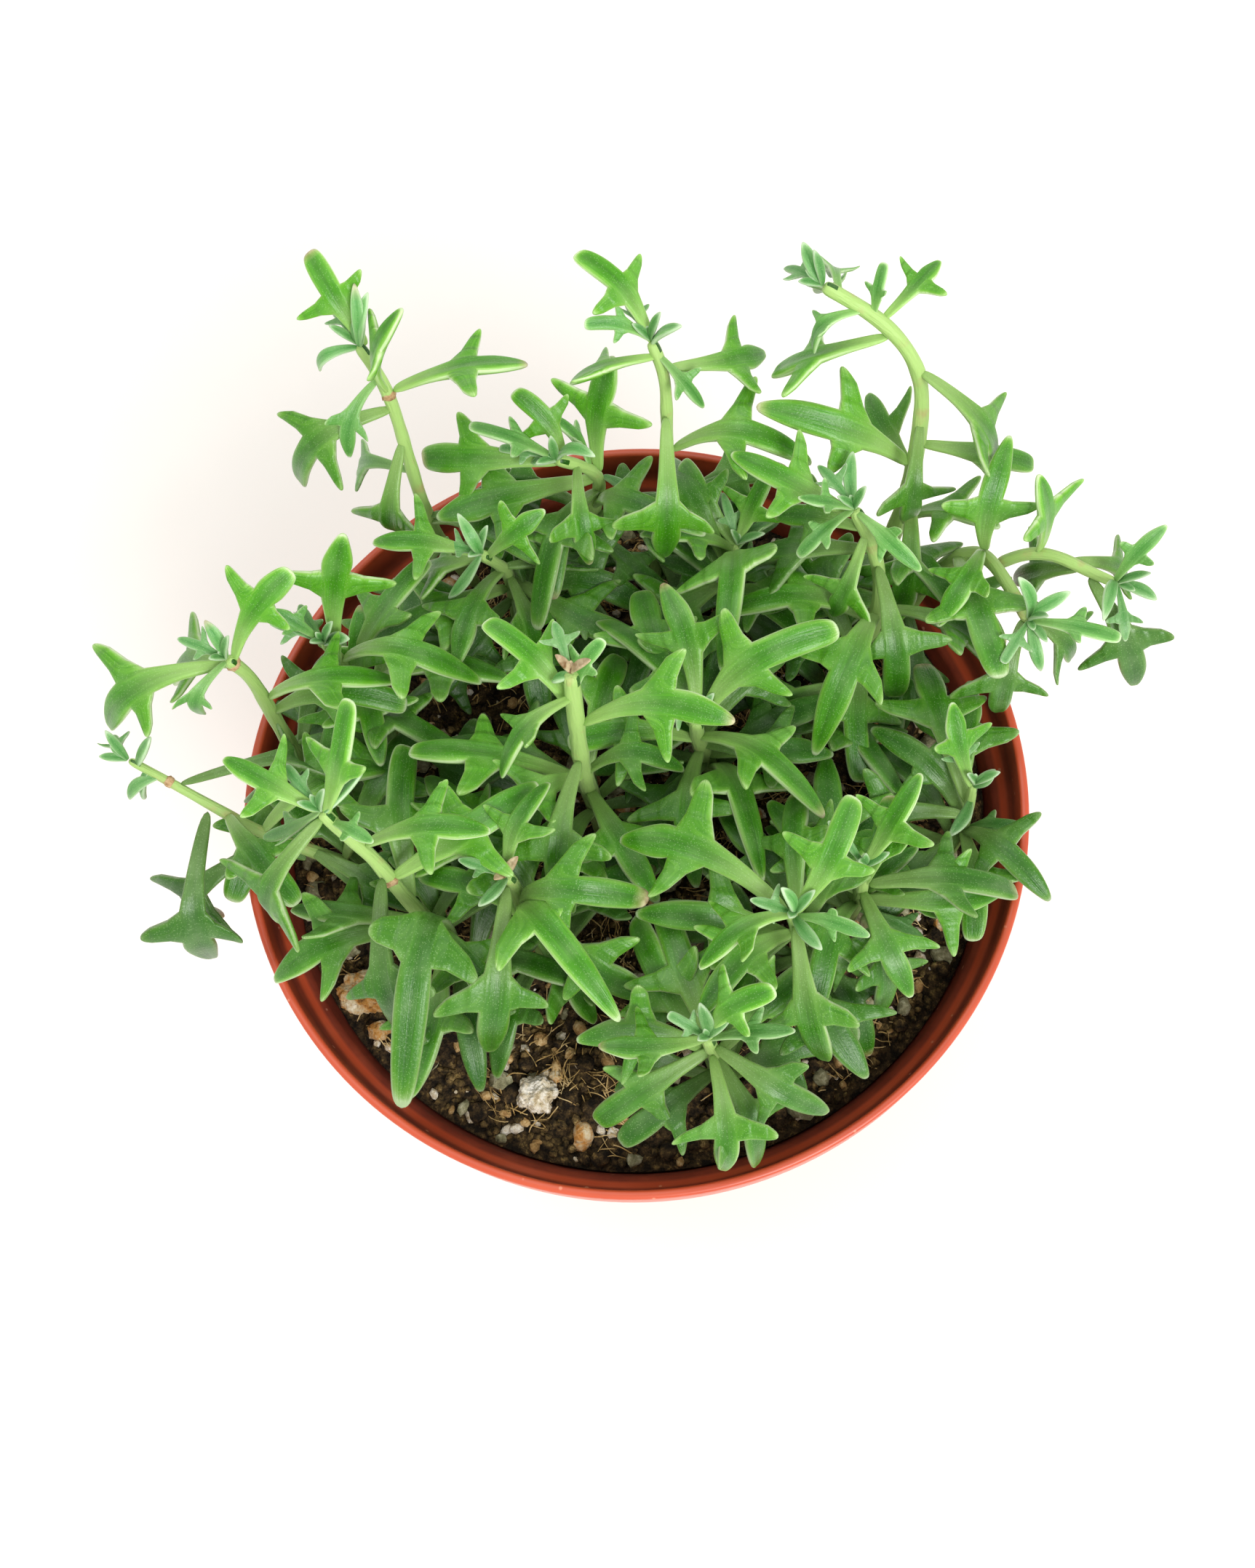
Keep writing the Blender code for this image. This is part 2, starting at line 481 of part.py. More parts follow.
def leaf_sizes(kind, length, number):
    """Half width, thickness, fin reach and where the fins start, for a leaf of this kind and length."""
    share = length / LEAF_LENGTH
    if kind == YOUNG:
        return YOUNG_HALF_WIDTH, YOUNG_THICKNESS, 0.0, 0.45
    plump = min(1.15, max(0.6, share ** 0.6))
    reach = FIN_REACH * plump * (0.9 + 0.05 * (number * 7 % 5))
    if kind == SMALL:
        plump *= SMALL_WIDTH
        reach *= SMALL_REACH
    return BLADE_HALF_WIDTH * plump, BLADE_THICKNESS * plump, reach, 0.37 + 0.04 * (number * 5 % 4)


def straight_leaf(kind, length, number, extra):
    """A leaf lying straight: x runs from 0 at its base to 1 at its tip, y across and z up, both in metres.

    It starts as a cube. Its end face is extruded from station to station, and the fins from two side faces.
    """
    half, thick, reach, fin_start = leaf_sizes(kind, length, number)
    blunt = 0.55 if number % 3 == 1 else 0.25
    if kind == YOUNG:
        stations = [(0.0, 0.5, 0.7), (fin_start, 1.0, 1.0), (1.0, 0.2, 0.4)]
    else:
        stations = [(0.0, 0.40, 0.55), (fin_start, 0.78, 0.9), (fin_start + 0.16, 0.95, 1.0),
                    (0.85, 0.9, 0.85), (1.0, blunt, 0.4)]
    bm = bmesh.new()
    bmesh.ops.create_cube(bm, size=1)

    def set_ring(verts, station):
        for vert in verts:
            side, level = math.copysign(1, vert.co.y), math.copysign(1, vert.co.z)
            wide, deep = half * station[1] + extra, thick / 2 * station[2] + extra
            vert.co = (station[0], side * wide, level * deep)

    set_ring([vert for vert in bm.verts if vert.co.x < 0], stations[0])
    end = [vert for vert in bm.verts if vert.co.x > 0]
    set_ring(end, stations[1])
    for station in stations[2:]:
        cap = next(face for face in bm.faces if all(vert in end for vert in face.verts))
        end = bmesh.ops.extrude_discrete_faces(bm, faces=[cap])["faces"][0].verts[:]
        set_ring(end, station)
    if reach:
        add_fins(bm, stations, reach, number, extra, length)
    return bm


def add_fins(bm, stations, reach, number, extra, length):
    """Draw a fin out of each side of the leaf between its second and third stations."""
    middle = (stations[1][0] + stations[2][0]) / 2
    for side in (-1, 1):
        root = next(face for face in bm.faces if abs(face.normal.z) < 0.5 and face.normal.y * side > 0.5
                    and abs(face.calc_center_median().x - middle) < 0.01)
        out = reach * (1.0 if (number + side) % 3 else 0.8) + extra
        forward = 0.05 + 0.03 * ((number * 3 + side) % 4)
        tip = bmesh.ops.extrude_discrete_faces(bm, faces=[root])["faces"][0]
        for vert in tip.verts:
            ahead = vert.co.x - middle
            vert.co.x = middle + forward + ahead * 0.3 + math.copysign(extra / length, ahead)
            vert.co.y = side * out
            vert.co.z *= 0.5


def leaf_parts(kind, length, number, extra):
    """The points and faces of a straight leaf."""
    bm = straight_leaf(kind, length, number, extra)
    points = [vert.co.copy() for vert in bm.verts]
    faces = [tuple(vert.index for vert in face.verts) for face in bm.faces]
    bm.free()
    return points, faces


def bend_leaf(rest, base, tip, arch):
    """Lay a straight leaf along an arched line from base to tip, with its upper face up."""
    chord = tip - base
    along = chord.normalized()
    up = Vector((0, 0, 1)) - along * along.z
    if up.length < 0.2:
        up = Vector((-along.x, -along.y, 0.3)) if along.z > 0 else Vector((along.x, along.y, 0.3))
        up -= along * up.dot(along)
    up.normalize()
    top = (base + tip) / 2 + up * (2 * arch * chord.length)
    across = up.cross(along)
    placed = []
    for point in rest:
        t = point[0]
        middle = base * (1 - t) ** 2 + top * (2 * t * (1 - t)) + tip * t ** 2
        heading = ((top - base) * (1 - t) + (tip - top) * t).normalized()
        placed.append(middle + across * point[1] + heading.cross(across) * point[2])
    return placed


class Space:
    """What is already in place, so that the next leaf finds room as a growing leaf does."""

    def __init__(self):
        self.pieces = []

    def add(self, group, points, faces):
        low = Vector([min(point[i] for point in points) for i in range(3)])
        high = Vector([max(point[i] for point in points) for i in range(3)])
        self.pieces.append((group, low, high, BVHTree.FromPolygons(points, faces)))

    def add_mesh(self, group, mesh):
        points = [vert.co.copy() for vert in mesh.vertices]
        self.add(group, points, [tuple(face.vertices) for face in mesh.polygons])

    def is_free(self, group, points, faces):
        low = [min(point[i] for point in points) for i in range(3)]
        high = [max(point[i] for point in points) for i in range(3)]
        tree = None
        for owner, its_low, its_high, its_tree in self.pieces:
            if owner == group:
                continue
            if any(low[i] > its_high[i] or high[i] < its_low[i] for i in range(3)):
                continue
            tree = tree or BVHTree.FromPolygons(points, faces)
            if tree.overlap(its_tree):
                return False
        return True


LIFTS = (0, 1, -1, 2, -2, 3, -3, 4, -4, 5, -5, 6, -6, 8, -8, 10, 12, 14)      # mm, at the tip
SWINGS = (0, 4, -4, 8, -8, 12, -12, 17, -17, 23, -23)                        # degrees, about the base
EXTRA_ARCH = (0, 0.08, -0.08, 0.16, 0.26)
SHORTER = (1.0, 0.85, 0.7, 0.55)                                             # of the leaf's length, in turn
TRIES = sorted(((lift, swing, arch) for lift in LIFTS for swing in SWINGS for arch in EXTRA_ARCH),
               key=lambda t: abs(t[0]) + abs(t[1]) / 2.5 + abs(t[2]) * 14)


def leaf_base(kind, shoot, line, along, tip):
    """Where a leaf leaves its stem: just off the skin for a leaf of its own, inside the stem if joined."""
    place, direction = point_on(line, along)
    if kind != OWN:
        return place
    outward = (tip - place) - direction * (tip - place).dot(direction)
    if along > TIP_SHARE:
        outward = tip - place
    outward.normalize()
    slant = 1 - abs(outward.dot((tip - place).normalized()))
    clear = stem_radius(shoot, along) * 1.05 + BLADE_HALF_WIDTH * 0.6 * slant + GAP + LEAF_SLIT
    return place + outward * clear


def grow_leaf(space, shoot, line, group, leaf, number):
    """Find room for one leaf, nearest to where it would like to be, and return its points and faces.

    A leaf that finds no room at its full length grows shorter.
    """
    kind, along, wish, arch = leaf
    place, _ = point_on(line, along)
    for share in SHORTER:
        wanted = (above_soil(wish) - place) * share
        wide, faces = leaf_parts(kind, wanted.length, number, GAP / 2 + LEAF_MARGIN)
        for lift, swing, more_arch in TRIES:
            tip = place + Matrix.Rotation(math.radians(swing), 3, "Z") @ wanted + Vector((0, 0, lift * MM))
            base = leaf_base(kind, shoot, line, along, tip)
            bent = bend_leaf(wide, base, tip, arch + more_arch)
            if space.is_free(group, bent, faces):
                space.add(group, bent, faces)
                slim, _ = leaf_parts(kind, wanted.length, number, 0.0)
                return bend_leaf(slim, base, tip, arch + more_arch), faces
    raise RuntimeError(f"there is no room for leaf {number} of {group}")


def mesh_of(points, faces, name):
    """A closed mesh from a leaf's points and faces, with flat triangles."""
    bm = bmesh.new()
    verts = [bm.verts.new(point) for point in points]
    for face in faces:
        bm.faces.new([verts[i] for i in face])
    bmesh.ops.triangulate(bm, faces=bm.faces)
    return mesh_from(bm, name)


def join_leaves(stem, leaves, cutters):
    """Join leaves that overlap their stem to it, one after another."""
    for i, mesh in enumerate(leaves):
        helper = bpy.data.objects.new(f"{stem.name}_joined_{i}", mesh)
        cutters.objects.link(helper)
        helper.hide_render = True
        helper.display_type = "WIRE"
        boolean = stem.modifiers.new(f"leaf_{i}", "BOOLEAN")
        boolean.operation = "UNION"
        boolean.object = helper


def new_collection(name):
    made = bpy.data.collections.new(name)
    bpy.context.scene.collection.children.link(made)
    return made


def lower_leaves(shoot, line, number):
    """The leaves low on a stem: each turns LOWER_TURN from the last and droops into the shade."""
    found = []
    for i in range(LOWER_LEAVES):
        along = 0.2 + 0.2 * i
        place, _ = point_on(line, along)
        angle = math.radians(LOWER_TURN * (i + number))
        reach = LOWER_REACH * (1.0 - 0.1 * (i % 2))
        tip = place + Vector((math.cos(angle), math.sin(angle), 0)) * reach
        height = 5 + 4 * i + 3 * (number % 3)
        if tip.xy.length < RIM_RADIUS - LOWER_MARGIN:
            found.append((JOINED, along, (tip.x / MM, tip.y / MM, height), 0.25))
    return found


def build_plant(collection, helpers, space, soil):
    """All stems first, then the leaves, shoot by shoot, clear of the soil."""
    lines = {name: stem_line(shoot) for name, shoot in SHOOTS.items()}
    stems = {}
    for name, shoot in SHOOTS.items():
        mesh = build_stem("stem_" + name, shoot, lines[name])
        stems[name] = add_object("stem_" + name, mesh, "stem_skin", collection)
        space.add_mesh("stem_" + name, mesh)
    space.add_mesh("soil", soil.data)
    number = 0
    joined = {name: [] for name in SHOOTS}
    for name, shoot in SHOOTS.items():
        own = 0
        for leaf in shoot["leaves"]:
            number += 1
            own += leaf[0] == OWN
            group = f"leaf_{name}_{own}" if leaf[0] == OWN else "stem_" + name
            mesh = mesh_of(*grow_leaf(space, shoot, lines[name], group, leaf, number), group)
            if leaf[0] == OWN:
                add_object(group, mesh, "leaf_skin", collection)
            else:
                joined[name].append(mesh)
    for name, shoot in SHOOTS.items():
        for leaf in [] if shoot.get("fork") else lower_leaves(shoot, lines[name], number):
            number += 1
            grown = grow_leaf(space, shoot, lines[name], "stem_" + name, leaf, number)
            joined[name].append(mesh_of(*grown, name))
        join_leaves(stems[name], joined[name], helpers)


def main():
    for obj in list(bpy.data.objects):
        bpy.data.objects.remove(obj)
    collection = new_collection("string_of_dolphins")
    space = Space()
    pot = build_pot(collection, new_collection("drain_cutters"))
    space.add_mesh("pot", evaluated_mesh(pot))
    soil = build_soil(collection, new_collection("socket_cutters"))
    for name, spec in STONES.items():
        space.add_mesh(name, build_stone(name, spec, collection).data)
    build_plant(collection, new_collection("leaf_helpers"), space, soil)


main()
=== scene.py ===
# %% [markdown]
# # A potted string of dolphins
# A trailing succulent in a thin plastic nursery pot. Its leaves look like jumping dolphins: a narrow
# stalk that widens like a wedge, two side fins, and a fleshy blade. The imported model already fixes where
# every stem, leaf and stone is. This lesson builds the skin that shows: smooth leaves, crumbly soil and
# moulded plastic, each in the place of its plain solid.

# %% Load the frame
import json
import math
import random

import bmesh
import bpy
from mathutils import Matrix, Vector, noise
from mathutils.bvhtree import BVHTree
from mathutils.geometry import intersect_point_line

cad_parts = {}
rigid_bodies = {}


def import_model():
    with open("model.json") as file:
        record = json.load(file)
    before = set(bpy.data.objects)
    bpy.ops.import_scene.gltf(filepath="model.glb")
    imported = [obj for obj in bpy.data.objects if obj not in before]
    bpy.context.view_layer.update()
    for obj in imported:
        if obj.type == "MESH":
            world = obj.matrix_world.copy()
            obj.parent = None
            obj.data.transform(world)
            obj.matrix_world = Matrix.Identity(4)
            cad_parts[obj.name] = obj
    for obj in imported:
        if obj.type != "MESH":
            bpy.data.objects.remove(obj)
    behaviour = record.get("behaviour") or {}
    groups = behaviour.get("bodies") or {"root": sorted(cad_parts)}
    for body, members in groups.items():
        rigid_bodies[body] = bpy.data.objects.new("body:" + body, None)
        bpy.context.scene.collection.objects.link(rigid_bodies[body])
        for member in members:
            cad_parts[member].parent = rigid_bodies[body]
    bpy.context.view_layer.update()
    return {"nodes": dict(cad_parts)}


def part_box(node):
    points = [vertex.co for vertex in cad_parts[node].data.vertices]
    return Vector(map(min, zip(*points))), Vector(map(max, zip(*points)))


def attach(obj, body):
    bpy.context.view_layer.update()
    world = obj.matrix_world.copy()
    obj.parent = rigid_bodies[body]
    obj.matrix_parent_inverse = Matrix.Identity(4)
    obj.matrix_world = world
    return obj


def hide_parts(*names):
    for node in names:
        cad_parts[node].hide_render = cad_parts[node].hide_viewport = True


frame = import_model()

MM = 0.001

# %% [markdown]
# ## Camera
# The plant is seen from above and a little in front, so that the pot's lip is nearly a circle. A camera
# that looks almost straight down has no safe "up" from Blender's tracking, so its three axes are worked
# out one by one: one points back at the eye, one to the right, and one up the picture.

# %% The camera
def link(name, data):
    """A new object that stands in the scene."""
    made = bpy.data.objects.new(name, data)
    bpy.context.scene.collection.objects.link(made)
    return made


LENS_MM = 41.74                      # on a sensor 36 mm along the picture's long side
eye = Vector((14.3, -91.3, 386.1)) * MM
target = Vector((-0.77, 2.52, 100.0)) * MM
backwards = (eye - target).normalized()
rightwards = Vector((0, 1, 0)).cross(backwards).normalized()
upwards = backwards.cross(rightwards)
camera = link("camera", bpy.data.cameras.new("camera"))
camera.data.lens = LENS_MM
camera.data.sensor_width = 36
camera.data.clip_start = 0.01
turn = Matrix((rightwards, upwards, backwards)).transposed().to_4x4()
camera.matrix_world = Matrix.Translation(eye) @ turn
bpy.context.scene.camera = camera
print("camera stands", round((eye - target).length / MM), "mm from the lip's height")

# %% [markdown]
# ## Materials
# Every colour is written as the sRGB hex value that an eye would pick and turned to linear light by one
# function. One more function adds a node with its settings and its links, so a material reads as a short
# list.

# %% Two helpers for materials
def linear(hex_colour):
    """sRGB hex to the linear values that Blender works in."""
    channels = [int(hex_colour[i:i + 2], 16) / 255 for i in (0, 2, 4)]
    return [c / 12.92 if c <= 0.04045 else ((c + 0.055) / 1.055) ** 2.4 for c in channels] + [1.0]


def add(tree, kind, sockets=None, stops=None, **settings):
    """Add a node. Sockets take a value or another node's output; stops are a ramp's places and colours."""
    made = tree.nodes.new("ShaderNode" + kind)
    for name, value in settings.items():
        setattr(made, name, value)
    for name, value in (sockets or {}).items():
        if isinstance(value, bpy.types.NodeSocket):
            tree.links.new(value, made.inputs[name])
        else:
            made.inputs[name].default_value = value
    for i, (place, colour) in enumerate(stops or []):
        stop = made.color_ramp.elements[i] if i < 2 else made.color_ramp.elements.new(place)
        stop.position = place
        stop.color = linear(colour) if isinstance(colour, str) else [colour] * 3 + [1.0]
    return made


def finish_of(name, roughness, **settings):
    """A new material, its node tree, its Principled shader, and its Object coordinates."""
    made = bpy.data.materials.new(name)
    made.use_nodes = True
    tree = made.node_tree
    shader = tree.nodes["Principled BSDF"]
    shader.inputs["Roughness"].default_value = roughness
    for key, value in settings.items():
        shader.inputs[key.replace("_", " ").title().replace("Ior", "IOR")].default_value = value
    return made, tree, shader, add(tree, "TexCoord").outputs["Object"]


PER_MM = 1 / MM                      # a texture scale of PER_MM / size repeats once every size millimetres

# %% [markdown]
# ### Leaf skin
# The leaf is a water store: thick, wet flesh under a thin waxy skin. Light goes in and comes out again,
# which is why it glows a fresh green, so the shader gets subsurface scattering of about a millimetre. The
# wax bloom makes the rims pale, and the pale rims also carry painted highlight and glow along the edges.
# Numbers that each leaf carries on its points steer the colour: how far along the leaf a point is, how far
# across, how near the rim, how young the leaf is, a tone of its own with painted shade that darkens leaves
# low in the foliage, and how dry the point is.

# %% The leaf skin
def leaf_skin():
    made, tree, shader, place = finish_of("succulent_leaf_skin", 0.34, subsurface_weight=0.08,
                                          subsurface_scale=0.0012, specular_ior_level=0.4, sheen_weight=0.03,
                                          sheen_roughness=0.45)
    shader.inputs["Subsurface Radius"].default_value = (0.8, 1.0, 0.3)
    shader.inputs["Sheen Tint"].default_value = linear("E6F2D6")
    facts = {name: add(tree, "Attribute", attribute_name=name).outputs["Fac"]
             for name in ("along", "across", "rim", "young", "tone", "dry")}
    # Streaks run the length of the leaf, half a millimetre wide and 6 mm long
    stretched = add(tree, "CombineXYZ", {"X": facts["across"], "Y": facts["along"], "Z": facts["tone"]})
    spread = add(tree, "VectorMath", {0: stretched.outputs[0], 1: (9.0, 4.0, 40.0)}, operation="MULTIPLY")
    streaks = add(tree, "TexNoise", {"Vector": spread.outputs[0], "Scale": 1.0, "Detail": 3.0})
    # The pale rim is partly wax and partly painted highlight and glow along the edges; noise shifts it a
    # little
    shift = add(tree, "MapRange", {0: streaks.outputs["Fac"], 1: 0.3, 2: 0.7, 3: -0.08, 4: 0.08})
    wax_and_highlight_rim = add(tree, "Math", {0: facts["rim"], 1: shift.outputs[0]}, operation="ADD")
    flesh = add(tree, "ValToRGB", {"Fac": wax_and_highlight_rim.outputs[0]},
                [(0.0, "36780B"), (0.35, "468E12"), (0.6, "66A52B"), (0.78, "8FBC60"), (0.95, "C2D9A6")])
    stalk = add(tree, "MapRange", {0: facts["along"], 1: 0.62, 2: 0.05, 4: 0.85},
                interpolation_type="SMOOTHSTEP")
    mixed = add(tree, "Mix", {0: stalk.outputs[0], 6: flesh.outputs["Color"], 7: linear("A3C970")},
                data_type="RGBA")
    # Young leaves are blue-green, with a thicker bloom of wax
    bluish = add(tree, "ValToRGB", {"Fac": wax_and_highlight_rim.outputs[0]},
                 [(0.0, "4F9344"), (0.5, "7BB06A"), (0.9, "BCD6AE")])
    mixed = add(tree, "Mix", {0: facts["young"], 6: mixed.outputs[2], 7: bluish.outputs["Color"]},
                data_type="RGBA")
    light = add(tree, "MapRange", {0: streaks.outputs["Fac"], 1: 0.3, 2: 0.72, 3: 0.92, 4: 1.08})
    # Painted shade: a low tone darkens the leaf, as shade falls on leaves low in the foliage
    own = add(tree, "MapRange", {0: facts["tone"], 3: 0.44, 4: 1.06})
    value = add(tree, "Math", {0: light.outputs[0], 1: own.outputs[0]}, operation="MULTIPLY")
    toned = add(tree, "HueSaturation", {"Value": value.outputs[0], "Color": mixed.outputs[2]})
    # Painted shade: leaves low in the foliage, by their tone, are mixed towards a deeper, bluer green
    deep = add(tree, "MapRange", {0: facts["tone"], 1: 0.6, 2: 0.0, 4: 0.6})
    shade_deepened = add(tree, "Mix", {0: deep.outputs[0], 6: toned.outputs["Color"], 7: linear("1C540C")},
                   data_type="RGBA")
    # The wax bloom is a greyish powder in soft patches 5 mm across, rubbed off between them
    powder = add(tree, "TexNoise", {"Vector": place, "Scale": PER_MM / 5, "Detail": 3.0})
    bloom = add(tree, "MapRange", {0: powder.outputs["Fac"], 1: 0.45, 2: 0.75, 4: 0.13})
    bloomed = add(tree, "Mix", {0: bloom.outputs[0], 6: shade_deepened.outputs[2], 7: linear("B4D196")},
                  data_type="RGBA")
    # Pores are pale dots; the real ones are finer than the 0.35 mm drawn here
    pores = add(tree, "TexVoronoi", {"Vector": place, "Scale": PER_MM / 0.35})
    dots = add(tree, "MapRange", {0: pores.outputs["Distance"], 1: 0.30, 2: 0.14, 3: 0.0, 4: 0.22})
    dotted = add(tree, "Mix", {0: dots.outputs[0], 6: bloomed.outputs[2], 7: linear("B4D596")},
                 data_type="RGBA")
    withered = add(tree, "TexNoise", {"Vector": place, "Scale": PER_MM / 1.5, "Detail": 4.0})
    brown = add(tree, "ValToRGB", {"Fac": withered.outputs["Fac"]}, [(0.35, "7A5A3A"), (0.65, "CDBB98")])
    browned = add(tree, "Mix", {0: facts["dry"], 6: dotted.outputs[2], 7: brown.outputs["Color"]},
                  data_type="RGBA")
    tree.links.new(browned.outputs[2], shader.inputs["Base Color"])
    grain = add(tree, "TexNoise", {"Vector": place, "Scale": PER_MM / 0.5, "Detail": 4.0})
    ridge = add(tree, "Math", {0: streaks.outputs["Fac"], 1: grain.outputs["Fac"]}, operation="ADD")
    bump = add(tree, "Bump", {"Height": ridge.outputs[0], "Strength": 0.5, "Distance": 0.00013})
    tree.links.new(bump.outputs[0], shader.inputs["Normal"])
    return made


LEAF = leaf_skin()
print("leaf skin has", len(LEAF.node_tree.nodes), "nodes")

# %% [markdown]
# ### Stem skin
# The stems are the same flesh with less green in it, pale and a little yellow, with fine lengthwise ribs
# and brownish flecks where old leaves fell off.

# %% The stem skin
def stem_skin():
    made, tree, shader, place = finish_of("succulent_stem_skin", 0.5, subsurface_weight=0.12,
                                          subsurface_scale=0.001, specular_ior_level=0.4, sheen_weight=0.05)
    shader.inputs["Subsurface Radius"].default_value = (0.7, 1.0, 0.3)
    # Painted shade: down at the soil, 88 mm up, a stem is painted darker; from 125 mm up it is painted as in
    # the light
    height = add(tree, "SeparateXYZ", {0: place})
    shade = add(tree, "MapRange", {0: height.outputs["Z"], 1: 88 * MM, 2: 125 * MM})
    green = add(tree, "ValToRGB", {"Fac": shade.outputs[0]}, [(0.0, "6E8A42"), (1.0, "A6C873")])
    blotch = add(tree, "TexNoise", {"Vector": place, "Scale": PER_MM / 5, "Detail": 5.0})
    fleck = add(tree, "MapRange", {0: blotch.outputs["Fac"], 1: 0.6, 2: 0.75, 4: 0.7})
    mixed = add(tree, "Mix", {0: fleck.outputs[0], 6: green.outputs["Color"], 7: linear("B29A6B")},
                data_type="RGBA")
    tree.links.new(mixed.outputs[2], shader.inputs["Base Color"])
    # Ribs run up the stem: two facts go round it and the third goes up it, a unit for every centimetre
    round_it, up_it, other_way = (add(tree, "Attribute", attribute_name=name).outputs["Fac"]
                                  for name in ("across", "along", "rim"))
    wound = add(tree, "CombineXYZ", {"X": round_it, "Y": other_way, "Z": up_it})
    ribs = add(tree, "TexNoise", {"Vector": wound.outputs[0], "Scale": 2.6, "Detail": 3.0})
    bump = add(tree, "Bump", {"Height": ribs.outputs["Fac"], "Strength": 0.7, "Distance": 0.0004})
    tree.links.new(bump.outputs[0], shader.inputs["Normal"])
    return made


STEM = stem_skin()
print("stem skin has", len(STEM.node_tree.nodes), "nodes")

# %% [markdown]
# ### Pot plastic
# Thin polypropylene, vacuum formed and coloured like terracotta, smooth with a satin gloss. Inside, it is a
# darker brown-red: partly a dull film of water and soil, partly painted shade. Each point of the pot carries
# a fact that says whether it is on the inside, and the darker colour follows it.

# %% The pot's plastic
def pot_plastic():
    made, tree, shader, place = finish_of("terracotta_polypropylene", 0.36, specular_ior_level=0.5)
    inner = add(tree, "Attribute", attribute_name="inner").outputs["Fac"]
    tint = add(tree, "TexNoise", {"Vector": place, "Scale": PER_MM / 18, "Detail": 5.0})
    plain = add(tree, "ValToRGB", {"Fac": tint.outputs["Fac"]}, [(0.35, "BC4A2C"), (0.65, "C65434")])
    stain = add(tree, "TexNoise", {"Vector": place, "Scale": PER_MM / 6, "Detail": 8.0, "Roughness": 0.65})
    film_and_shade = add(tree, "ValToRGB", {"Fac": stain.outputs["Fac"]},
               [(0.35, "6C2516"), (0.55, "86331D"), (0.75, "9C4329")])
    # Partly dirt film, partly painted shade: the inside is mixed towards the darker brown-red
    amount = add(tree, "Math", {0: inner, 1: 0.9}, operation="MULTIPLY")
    mixed = add(tree, "Mix", {0: amount.outputs[0], 6: plain.outputs["Color"], 7: film_and_shade.outputs["Color"]},
                data_type="RGBA")
    # Crumbs of lime and rubbed spots, pale specks under a millimetre across
    specks = add(tree, "TexVoronoi", {"Vector": place, "Scale": PER_MM / 4.5, "Randomness": 1.0})
    spot = add(tree, "MapRange", {0: specks.outputs["Distance"], 1: 0.09, 2: 0.06, 4: 0.55})
    spotted = add(tree, "Mix", {0: spot.outputs[0], 6: mixed.outputs[2], 7: linear("E3A083")},
                  data_type="RGBA")
    tree.links.new(spotted.outputs[2], shader.inputs["Base Color"])
    dull = add(tree, "MapRange", {0: inner, 3: 0.34, 4: 0.68})
    tree.links.new(dull.outputs[0], shader.inputs["Roughness"])
    wave = add(tree, "TexNoise", {"Vector": place, "Scale": PER_MM / 9, "Detail": 2.0})
    bump = add(tree, "Bump", {"Height": wave.outputs["Fac"], "Strength": 0.15, "Distance": 0.0004})
    tree.links.new(bump.outputs[0], shader.inputs["Normal"])
    return made


PLASTIC = pot_plastic()
print("pot plastic has", len(PLASTIC.node_tree.nodes), "nodes")

# %% [markdown]
# ### Soil, grit, pumice and fibre
# The mix is dark peat with coconut fibre and mineral grit. All of it is dull, and damp peat is nearly
# black. The same recipe serves them all: a few colours mixed by noise at the grain's own size, and a
# rough bump.

# %% Earthy finishes
def earthy(name, colours, grain_mm, roughness, bump_mm):
    """A mineral or plant crumb: colours from dark to light by noise of grain_mm, rough all over."""
    made, tree, shader, place = finish_of(name, roughness, specular_ior_level=0.25)
    patch = add(tree, "TexNoise",
                {"Vector": place, "Scale": PER_MM / grain_mm, "Detail": 8.0, "Roughness": 0.7})
    count = len(colours) - 1
    shades = add(tree, "ValToRGB", {"Fac": patch.outputs["Fac"]},
                 [(0.3 + 0.4 * i / count, colour) for i, colour in enumerate(colours)])
    tree.links.new(shades.outputs["Color"], shader.inputs["Base Color"])
    fine = add(tree, "TexNoise", {"Vector": place, "Scale": PER_MM / (grain_mm / 4), "Detail": 6.0})
    bump = add(tree, "Bump", {"Height": fine.outputs["Fac"], "Strength": 0.8, "Distance": bump_mm * MM})
    tree.links.new(bump.outputs[0], shader.inputs["Normal"])
    return made


PEAT = earthy("damp_peat", ["0B0905", "1F180F", "4B3B24", "967C4A"], 1.6, 0.95, 0.6)
CRUMB = earthy("peat_crumb", ["0F0C07", "2C2315", "6B5733", "B59C66"], 1.6, 0.95, 0.3)
TAN_GRIT = earthy("tan_grit", ["6E4F2B", "AE8A56", "DEC898"], 1.5, 0.85, 0.3)
GREY_GRIT = earthy("grey_green_grit", ["4A4830", "8A8665", "C9C5A6"], 1.6, 0.85, 0.3)
PUMICE = earthy("washed_pumice", ["5A472F", "C2B18E", "E9E2D2", "F4F0E8"], 1.7, 0.9, 0.5)
RUSTY = earthy("rusty_pumice", ["5E3F20", "BE8743", "CDBB95", "E6DDC8"], 2.4, 0.9, 0.5)
FIBRE = earthy("coconut_fibre", ["7C6036", "C2A266", "EAD6A4"], 5.0, 0.8, 0.05)
CALLUS = earthy("dried_callus", ["7A5A3A", "B5936A", "DCC6A2"], 1.0, 0.8, 0.1)
print("finishes:", [finish.name for finish in bpy.data.materials if "_" in finish.name])

# %% [markdown]
# ## Helpers for pieces
# A piece's mesh already holds its place, so its object stays at the origin. Every piece rides on the one
# body, hides the plain solid that it stands for, if it has one, and takes its finishes.

